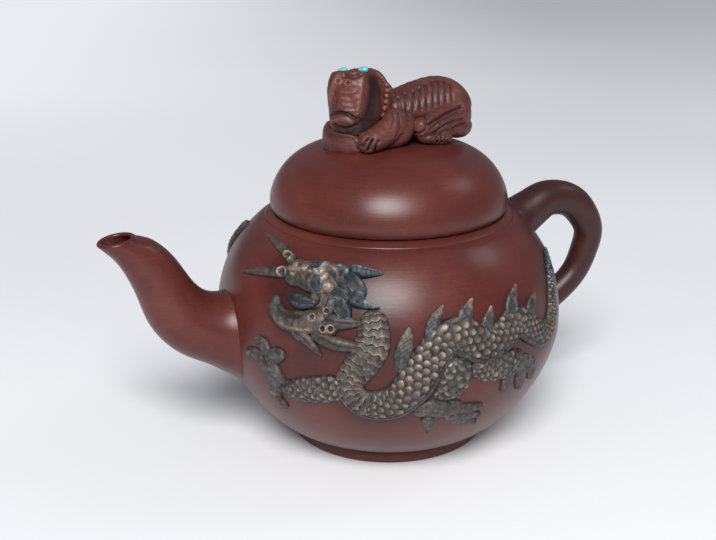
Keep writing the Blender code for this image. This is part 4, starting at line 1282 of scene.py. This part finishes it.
# The head: a broad flat snout seen from above, with two dark beads for eyes, small knobs on the brow
# and two long whiskers, each with a ring at its root.
head_half_span = 0.0062
head_height = 0.0040
cheek_height = 0.0030
whisker_half_width = 0.0021
whisker_height = 0.0025
whisker_ring_size = 0.0024
whisker_ring_height = 0.0009
head_path = [
    (0.164, 0.880, 0.56), (0.184, 0.877, 0.80), (0.206, 0.876, 0.80), (0.236, 0.873, 0.96),
    (0.262, 0.870, 1.00), (0.288, 0.860, 0.90),
]
cheek_path = [(0.238, 0.850, 0.70), (0.254, 0.822, 0.80), (0.265, 0.790, 0.78), (0.268, 0.756, 0.70)]
head_work = [
    ("bead", [(0.237, 0.908)], 0.0025, 0.0015),
    ("bead", [(0.247, 0.851)], 0.0023, 0.0016),
    ("ring", [(0.237, 0.908)], 0.0034, 0.0004),
    ("ring", [(0.247, 0.851)], 0.0033, 0.0004),
    ("bead", [(0.270, 0.844)], 0.0018, 0.0013),
    ("bead", [(0.260, 0.876)], 0.0015, 0.0009),
    ("bead", [(0.212, 0.896)], 0.0014, 0.0006),
    ("bead", [(0.190, 0.862), (0.190, 0.896)], 0.0012, 0.0006),
    ("line", [(0.176, 0.880), (0.204, 0.884), (0.222, 0.884), (0.248, 0.886)], 0.0009, 0.0005),
    ("line", [(0.176, 0.866), (0.196, 0.850), (0.216, 0.842), (0.232, 0.830)], 0.0008, -0.0005),
    ("line", [(0.222, 0.872), (0.232, 0.880), (0.228, 0.896)], 0.0006, -0.0005),
    ("line", [(0.246, 0.926), (0.262, 0.912), (0.276, 0.906)], 0.0009, 0.0005),
    ("line", [(0.266, 0.896), (0.276, 0.880), (0.286, 0.866)], 0.0007, -0.0005),
]
cheek_work = [
    ("ring", [(0.271, 0.771)], 0.0016, 0.0008),
    ("line", [(0.244, 0.836), (0.252, 0.806), (0.246, 0.780)], 0.0006, -0.0005),
    ("line", [(0.262, 0.840), (0.268, 0.812), (0.264, 0.790)], 0.0006, -0.0004),
]
head_dark = [(0.237, 0.908, 0.0023), (0.247, 0.851, 0.0022)]
cheek_dark = [(0.271, 0.771, 0.0006)]
whisker_paths = {
    "upper_whisker": [(0.175, 0.905, 0.76), (0.146, 0.925, 0.86), (0.1, 0.944, 0.67), (0.035, 0.958, 0.19)],
    "lower_whisker": [(0.180, 0.878, 0.86), (0.146, 0.866, 1), (0.101, 0.847, 0.76), (0.041, 0.818, 0.19)],
}
whisker_rings = {"upper_whisker": (0.156, 0.916), "lower_whisker": (0.162, 0.866)}


def ridged(across, pitch, share, along):
    """Fine ridges along a strip, paler towards its tip."""
    ridges = np.cos(across * 7) + 0.4 * np.sin(pitch * 4)
    return 0.00006 * ridges, 0.06 * ridges + 0.24 * share - 0.12, 0 * share


def worn_skin(across, pitch, share, along):
    """Skin with shallow folds, a little uneven."""
    folds = np.sin(pitch * 11 + 3 * np.sin(across * 4)) * np.sin(across * 7 + pitch * 3)
    return 0.00018 * folds, 0.17 * folds, 0 * share


for side, turned_by in sides:
    brow = raised(head_path, head_half_span, head_height, 130, 72, turned_by, head_work, worn_skin, head_dark)
    cheek = raised(cheek_path, head_half_span, cheek_height, 80, 56, turned_by, cheek_work, worn_skin,
                   cheek_dark)
    mould_piece(side, "head", together(brow, cheek))
    for part, path in whisker_paths.items():
        ring = [("ring", [whisker_rings[part]], whisker_ring_size, whisker_ring_height)]
        dark = [(*whisker_rings[part], 0.0007)]
        whisker = raised(path, whisker_half_width, whisker_height, 100, 36, turned_by, ring, ridged, dark)
        mould_piece(side, part, whisker)

# The open mouth: a curved lower jaw with three small rings on the cheek, a dark tongue, a pointed
# beard, and two leaves of skin behind the jaw that lie over the neck.
jaw_path = [
    (0.166, 0.792, 0.29), (0.165, 0.748, 0.71), (0.190, 0.716, 0.86), (0.220, 0.716, 0.90),
    (0.250, 0.730, 1.00), (0.272, 0.752, 0.76),
]
jaw_rings = [(0.249, 0.745), (0.270, 0.712), (0.283, 0.715)]
jaw_work = [
    ("ring", jaw_rings, 0.0016, 0.0008),
    ("line", [(0.172, 0.770), (0.178, 0.744), (0.196, 0.734), (0.222, 0.738)], 0.0008, -0.0005),
    ("line", [(0.166, 0.730), (0.190, 0.698), (0.222, 0.694), (0.246, 0.700)], 0.0007, 0.0004),
]
jaw_dark = [(*place, 0.0006) for place in jaw_rings]
jaw_pad_path = [(0.256, 0.722, 0.70), (0.274, 0.714, 0.95), (0.292, 0.712, 0.60)]
jaw_pad_half_width = 0.0031
jaw_pad_height = 0.0036
tongue_groove = [("line", [(0.188, 0.803), (0.214, 0.789), (0.244, 0.793)], 0.0006, -0.0004)]
beard_groove = [("line", [(0.205, 0.686), (0.236, 0.660), (0.262, 0.610)], 0.0005, -0.0003)]
upper_leaf_groove = [("line", [(0.266, 0.742), (0.300, 0.736), (0.334, 0.742)], 0.0006, -0.0004)]
lower_leaf_groove = [("line", [(0.256, 0.682), (0.296, 0.656), (0.344, 0.650)], 0.0006, -0.0004)]
mouth_pieces = {
    "jaw": (jaw_path, 0.0042, 0.0034, jaw_work, 0.0),
    "tongue": ([(0.183, 0.806, 0.33), (0.207, 0.790, 1.00), (0.230, 0.788, 1.00), (0.250, 0.796, 0.50)],
               0.0024, 0.0024, tongue_groove, 1.0),
    "beard": ([(0.200, 0.690, 0.48), (0.222, 0.672, 1.00), (0.242, 0.652, 0.90), (0.265, 0.603, 0.19)],
              0.0021, 0.0023, beard_groove, 0.0),
    "upper_leaf": ([(0.258, 0.742, 0.74), (0.286, 0.738, 1.00), (0.312, 0.740, 0.74), (0.339, 0.743, 0.15)],
                   0.0027, 0.0032, upper_leaf_groove, 0.0),
    "lower_leaf": ([(0.246, 0.690, 0.74), (0.276, 0.668, 0.93), (0.305, 0.656, 0.81), (0.349, 0.650, 0.15)],
                   0.0027, 0.0032, lower_leaf_groove, 0.0),
}
for side, turned_by in sides:
    for part, (path, half_width, height, marks, crest) in mouth_pieces.items():
        dark = jaw_dark if part == "jaw" else ()
        form = raised(path, half_width, height, 110, 52, turned_by, marks, ridged if crest == 0 else None,
                      dark, crest)
        if part == "jaw":
            pad = raised(jaw_pad_path, jaw_pad_half_width, jaw_pad_height, 60, 44, turned_by, marks[:1],
                         worn_skin, dark)
            form = together(form, pad)
        mould_piece(side, part, form)

# The mane and horns: curls of dark slate-blue slip behind the head, and two long tapering horns that
# point back along the body. Their edges are worn to a pale grey blue.
tuft_paths = [
    ([(0.263, 0.914, 0.40), (0.283, 0.895, 0.75), (0.303, 0.857, 0.80), (0.315, 0.819, 0.50)],
     0.0048, 0.0030),
    ([(0.259, 0.843, 0.45), (0.279, 0.837, 0.85), (0.295, 0.827, 0.95), (0.311, 0.817, 0.70)],
     0.0026, 0.0042),
    ([(0.293, 0.895, 0.45), (0.307, 0.877, 0.95), (0.321, 0.853, 1.00), (0.332, 0.827, 0.60)],
     0.0028, 0.0046),
    ([(0.303, 0.843, 0.60), (0.319, 0.827, 1.00), (0.333, 0.809, 0.80)],
     0.0026, 0.0048),
    ([(0.283, 0.813, 0.60), (0.294, 0.793, 1.00), (0.302, 0.771, 0.90), (0.309, 0.747, 0.25)],
     0.0029, 0.0044),
]
horn_half_width = 0.0022
horn_height = 0.0036
horn_paths = {
    "upper_horn": [(0.297, 0.908, 0.95), (0.317, 0.906, 1.00), (0.339, 0.905, 0.71), (0.366, 0.907, 0.19)],
    "lower_horn": [(0.303, 0.822, 0.95), (0.321, 0.813, 0.95), (0.339, 0.803, 0.62), (0.362, 0.796, 0.19)],
}


def hollow_tuft(across, pitch, share, along):
    """A leaf-shaped tuft with a raised pale rim round a dark hollow."""
    out = np.maximum(np.abs(across), np.abs(2 * share - 1) ** 1.6)
    rim = np.exp(-((out - 0.74) / 0.15) ** 2)
    hollow = np.exp(-(out / 0.5) ** 2)
    return 0.0005 * rim - 0.0008 * hollow, 0.36 * rim - 0.34 * hollow - 0.06, 0 * share


def horn_work(across, pitch, share, along):
    """Low rings round a horn and a pale worn upper edge."""
    rings = np.cos(pitch * 7)
    edge = np.clip((across - 0.1) / 0.5, 0, 1)
    return 0.00008 * rings, 0.05 * rings + 0.42 * edge + 0.25 * share ** 2 - 0.1, 0 * share


for side, turned_by in sides:
    tufts = []
    for index, (path, half_width, height) in enumerate(tuft_paths):
        work = hollow_tuft if index else horn_work
        tufts.append(raised(path, half_width, height, 80, 52, turned_by, (), work, (), 1.0))
    mould_piece(side, "mane", together(*tufts))
    for part, path in horn_paths.items():
        horn = raised(path, horn_half_width, horn_height, 90, 36, turned_by, (), horn_work, (), 1.0)
        mould_piece(side, part, horn)

# The fins: six thin pointed flames along the neck and back, ribbed from root to tip. They are grey
# green at the root and worn pale at the tip.
fin_half_width = 0.0033
fin_height = 0.0018
fin_paths = {
    "neck_fin": [(0.396, 0.556, 0.48), (0.400, 0.628, 0.91), (0.408, 0.690, 0.67), (0.412, 0.730, 0.12)],
    "back_fin_a": [(0.446, 0.680, 0.85), (0.455, 0.744, 0.73), (0.465, 0.776, 0.42), (0.474, 0.799, 0.12)],
    "back_fin_b": [(0.505, 0.705, 1.00), (0.513, 0.752, 0.88), (0.521, 0.780, 0.52), (0.532, 0.808, 0.12)],
    "back_fin_c": [(0.549, 0.670, 0.85), (0.556, 0.715, 0.79), (0.562, 0.742, 0.48), (0.568, 0.770, 0.12)],
    "back_fin_d": [(0.606, 0.710, 0.91), (0.616, 0.758, 0.85), (0.627, 0.786, 0.52), (0.640, 0.815, 0.12)],
    "back_fin_e": [(0.653, 0.680, 0.79), (0.667, 0.719, 0.76), (0.677, 0.738, 0.52), (0.687, 0.756, 0.15)],
}


def fin_work(across, pitch, share, along):
    """Ribs from the root, small dots, and a raised edge that is worn pale towards the tip."""
    ribs = np.cos(across * 6 + share * 2) * (1 - share)
    dots = np.sin(pitch * 8 + 3 * across) * np.sin(across * 9 + pitch * 2)
    edge = np.clip((np.abs(across) - 0.6) / 0.3, 0, 1)
    crest = 0.38 * np.clip(1.2 - share * 1.3, 0, 1)
    depth = 0.00009 * ribs + 0.00009 * dots + 0.00012 * edge
    return depth, 0.08 * ribs + 0.10 * dots + 0.12 * edge + 0.5 * share ** 2.5 - 0.08, crest


for side, turned_by in sides:
    for part, path in fin_paths.items():
        fin = raised(path, fin_half_width, fin_height, 80, 44, turned_by, (), fin_work)
        mould_piece(side, part, fin)

# The legs: three short legs with long claws, each leg pressed in one piece. The thighs and arms have
# small scales and curls, and the feet and claws are smoother.
limb_half_width = 0.0063
limb_height = 0.0026
claw_lift = 0.0001
limb_scale_depth = 0.0004
limb_scale_pitch = 0.40
limb_scale_columns = 1.9
foreleg_paths = [
    [
        (0.305, 0.493, 0.74), (0.27, 0.466, 0.84), (0.236, 0.446, 0.81),
        (0.206, 0.43, 0.68), (0.186, 0.422, 0.42),
    ],
    [
        (0.190, 0.41, 0.45), (0.176, 0.450, 0.65), (0.162, 0.502, 0.70),
        (0.152, 0.544, 0.62), (0.147, 0.564, 0.32),
    ],
    [(0.152, 0.528, 0.29), (0.124, 0.538, 0.38), (0.101, 0.530, 0.32)],
    [(0.156, 0.548, 0.39), (0.147, 0.591, 0.40), (0.128, 0.612, 0.18)],
    [(0.160, 0.530, 0.39), (0.177, 0.564, 0.50), (0.196, 0.572, 0.29)],
    [(0.172, 0.436, 0.44), (0.160, 0.376, 0.42), (0.177, 0.316, 0.17)],
]
hind_leg_a_paths = [
    [
        (0.486, 0.600, 0.58), (0.490, 0.540, 1.00), (0.484, 0.480, 0.90),
        (0.472, 0.432, 0.74), (0.464, 0.404, 0.50),
    ],
    [(0.470, 0.456, 0.50), (0.466, 0.420, 0.60), (0.470, 0.380, 0.50)],
    [
        (0.422, 0.370, 0.40), (0.448, 0.388, 0.60), (0.476, 0.386, 0.72),
        (0.500, 0.372, 0.55), (0.514, 0.366, 0.32),
    ],
    [(0.446, 0.352, 0.40), (0.453, 0.300, 0.34), (0.458, 0.250, 0.15)],
    [(0.502, 0.366, 0.38), (0.532, 0.359, 0.36), (0.557, 0.356, 0.15)],
    [(0.494, 0.352, 0.40), (0.527, 0.322, 0.38), (0.561, 0.306, 0.15)],
    [(0.480, 0.350, 0.36), (0.520, 0.300, 0.36), (0.560, 0.264, 0.15)],
]
hind_leg_b_paths = [
    [(0.52, 0.56, 0.52), (0.546, 0.53, 0.68), (0.58, 0.522, 0.77), (0.612, 0.526, 0.74), (0.636, 0.52, 0.48)],
    [(0.598, 0.520, 0.42), (0.600, 0.440, 0.45), (0.595, 0.392, 0.19)],
    [(0.624, 0.515, 0.42), (0.637, 0.433, 0.45), (0.643, 0.372, 0.19)],
    [(0.628, 0.525, 0.42), (0.662, 0.470, 0.48), (0.672, 0.400, 0.19)],
]
limb_marks = {
    "foreleg": [
        ("curl", [(0.222, 0.446), (0.252, 0.452)], 0.0034, 0.0002),
        ("line", [(0.205, 0.470), (0.186, 0.440), (0.184, 0.398)], 0.0007, -0.0005),
        ("line", [(0.150, 0.560), (0.158, 0.530)], 0.0005, -0.0004),
    ],
    "hind_leg_a": [
        ("curl", [(0.472, 0.552), (0.496, 0.520), (0.476, 0.486)], 0.0036, 0.0002),
        ("line", [(0.442, 0.444), (0.466, 0.430), (0.492, 0.430)], 0.0007, -0.0011),
    ],
    "hind_leg_b": [
        ("curl", [(0.560, 0.525), (0.592, 0.525)], 0.0034, 0.0002),
    ],
}


def scaly_limb(across, pitch, share, along):
    """Small scales that fade out towards the foot."""
    row_place = pitch / limb_scale_pitch + 0.12 * np.sin(3 * pitch)
    high, worn = round_scales(row_place, across * limb_scale_columns + 0.1 * np.sin(4 * pitch))
    amount = np.clip((0.93 - share) / 0.2, 0, 1)
    depth = limb_scale_depth * (high - 0.45) * amount
    return depth, (worn - 0.45) * 0.75 * amount - 0.05, 0.12 + 0 * share


def smooth_limb(across, pitch, share, along):
    """Shallow ridges and knobs on the feet and claws."""
    ridges = np.cos(across * 5) + 0.5 * np.sin(pitch * 5 + across * 2)
    knobs = np.sin(pitch * 9 + 2 * np.sin(across * 5)) * np.sin(across * 8 + 2.4 * np.sin(pitch * 4))
    return 0.00006 * ridges + 0.00012 * knobs, 0.06 * ridges + 0.14 * knobs, 0.14 + 0 * share


for side, turned_by in sides:
    for part, paths in (("foreleg", foreleg_paths), ("hind_leg_a", hind_leg_a_paths),
                        ("hind_leg_b", hind_leg_b_paths)):
        forms = []
        for index, path in enumerate(paths):
            work = scaly_limb if index == 0 else smooth_limb
            rows, columns = (150, 64) if index == 0 else (70, 36)
            marks = limb_marks[part] if index < 3 else ()
            forms.append(raised(path, limb_half_width, limb_height + claw_lift * index, rows, columns,
                                turned_by, marks, work))
        mould_piece(side, part, together(*forms))

# The table top: a plain pale sheet under the pot, wider than the photograph's view. Its far left part is
# paler to the camera and in reflections.
floor_half_size = 3
view_cos, view_sin = 0.934, 0.358
floor_sheet = bmesh.new()
bmesh.ops.create_grid(floor_sheet, x_segments=8, y_segments=8, size=floor_half_size)
floor_material, floor_wire, floor_shader = start_material("pale_sheet")
floor_place = floor_wire.node("TexCoord", {}, {}, "Object")
floor_cloud = floor_wire.node("TexNoise", {}, {"Vector": floor_place, "Scale": 3.5, "Detail": 1})
join(floor_cloud.between(0.3, 0.7).mix((0.84, 0.86, 0.90, 1), (0.88, 0.90, 0.93, 1)),
     floor_shader, "Base Color")
floor_shader.inputs["Roughness"].default_value = 0.6
floor_shader.inputs["Specular IOR Level"].default_value = 0.15
floor_x = floor_wire.node("SeparateXYZ", {}, {"Vector": floor_place}, 0)
floor_y = floor_wire.node("SeparateXYZ", {}, {"Vector": floor_place}, 1)
to_the_left = (view_sin * floor_y - view_cos * floor_x).between(-0.3, 0.45)
to_the_back = (view_sin * floor_x + view_cos * floor_y).between(0.05, 0.75)
seen = floor_wire.node("LightPath", {}, {}, 0) + floor_wire.node("LightPath", {}, {}, 3)
far_sheet = floor_wire.node("Emission", {}, {"Color": (0.90, 0.90, 0.95, 1), "Strength": 1.0})
sheet_plain = Wire(floor_wire.tree, floor_shader.outputs[0])
share_seen = seen * to_the_left * to_the_back * 0.85
sheet = floor_wire.node("MixShader", {}, {0: share_seen, 1: sheet_plain, 2: far_sheet})
floor_wire.tree.links.new(sheet.socket, floor_wire.tree.nodes["Material Output"].inputs[0])
table_top = new_piece("table_top", floor_sheet, floor_material)

# The light: a soft lamp high on the left, a weaker one on the right, and a pale room all round. The
# camera sees the room paler than it lights the pot.
pot_middle = Vector((0, 0, 0.06))
left_lamp_way = (-0.29, -0.68, 0.67)
left_lamp_colour = (1, 0.98, 0.96)
right_lamp_way = (0.73, -0.10, 0.68)
right_lamp_colour = (0.95, 0.98, 1)
room_strength = 0.22


def soft_lamp(name, way, distance, size, watts, colour):
    """A round lamp that points at the middle of the pot."""
    light = bpy.data.lights.new(name, "AREA")
    light.shape = "DISK"
    light.size = size
    light.energy = watts
    light.color = colour
    lamp = bpy.data.objects.new(name, light)
    lamp.location = pot_middle + Vector(way).normalized() * distance
    lamp.rotation_euler = Vector(way).to_track_quat("Z", "Y").to_euler()
    bpy.context.collection.objects.link(lamp)


soft_lamp("left_lamp", left_lamp_way, distance=2.6, size=1.3, watts=86.0, colour=left_lamp_colour)
soft_lamp("right_lamp", right_lamp_way, distance=2.4, size=0.6, watts=4.0, colour=right_lamp_colour)
room = bpy.data.worlds.new("room")
room.use_nodes = True
plain_room = room.node_tree.nodes["Background"]
plain_room.inputs["Color"].default_value = (0.86, 0.92, 1.0, 1)
plain_room.inputs["Strength"].default_value = room_strength
room_wire = Wire(room.node_tree)
room_light = Wire(room.node_tree, plain_room.outputs[0])
room_seen = room_wire.node("LightPath", {}, {}, 0)
pale_room = room_wire.node("Background", {}, {"Color": (0.86, 0.88, 0.92, 1), "Strength": 1.0})
room_mixed = room_wire.node("MixShader", {}, {0: room_seen, 1: room_light, 2: pale_room})
room.node_tree.links.new(room_mixed.socket, room.node_tree.nodes["World Output"].inputs[0])
bpy.context.scene.world = room

# The camera: a little above the lid and to the spout's side, at the photograph's angle. Its place and
# lens are the ones that the tiger's marks are found with.
camera_data = bpy.data.cameras.new("camera")
camera_data.sensor_width = camera_sensor
camera_data.lens = camera_lens
camera_data.clip_start = 0.01
camera = bpy.data.objects.new("camera", camera_data)
camera.location = camera_place
camera.rotation_euler = camera_angles
bpy.context.collection.objects.link(camera)
bpy.context.scene.camera = camera
bpy.context.scene.view_settings.view_transform = "Standard"
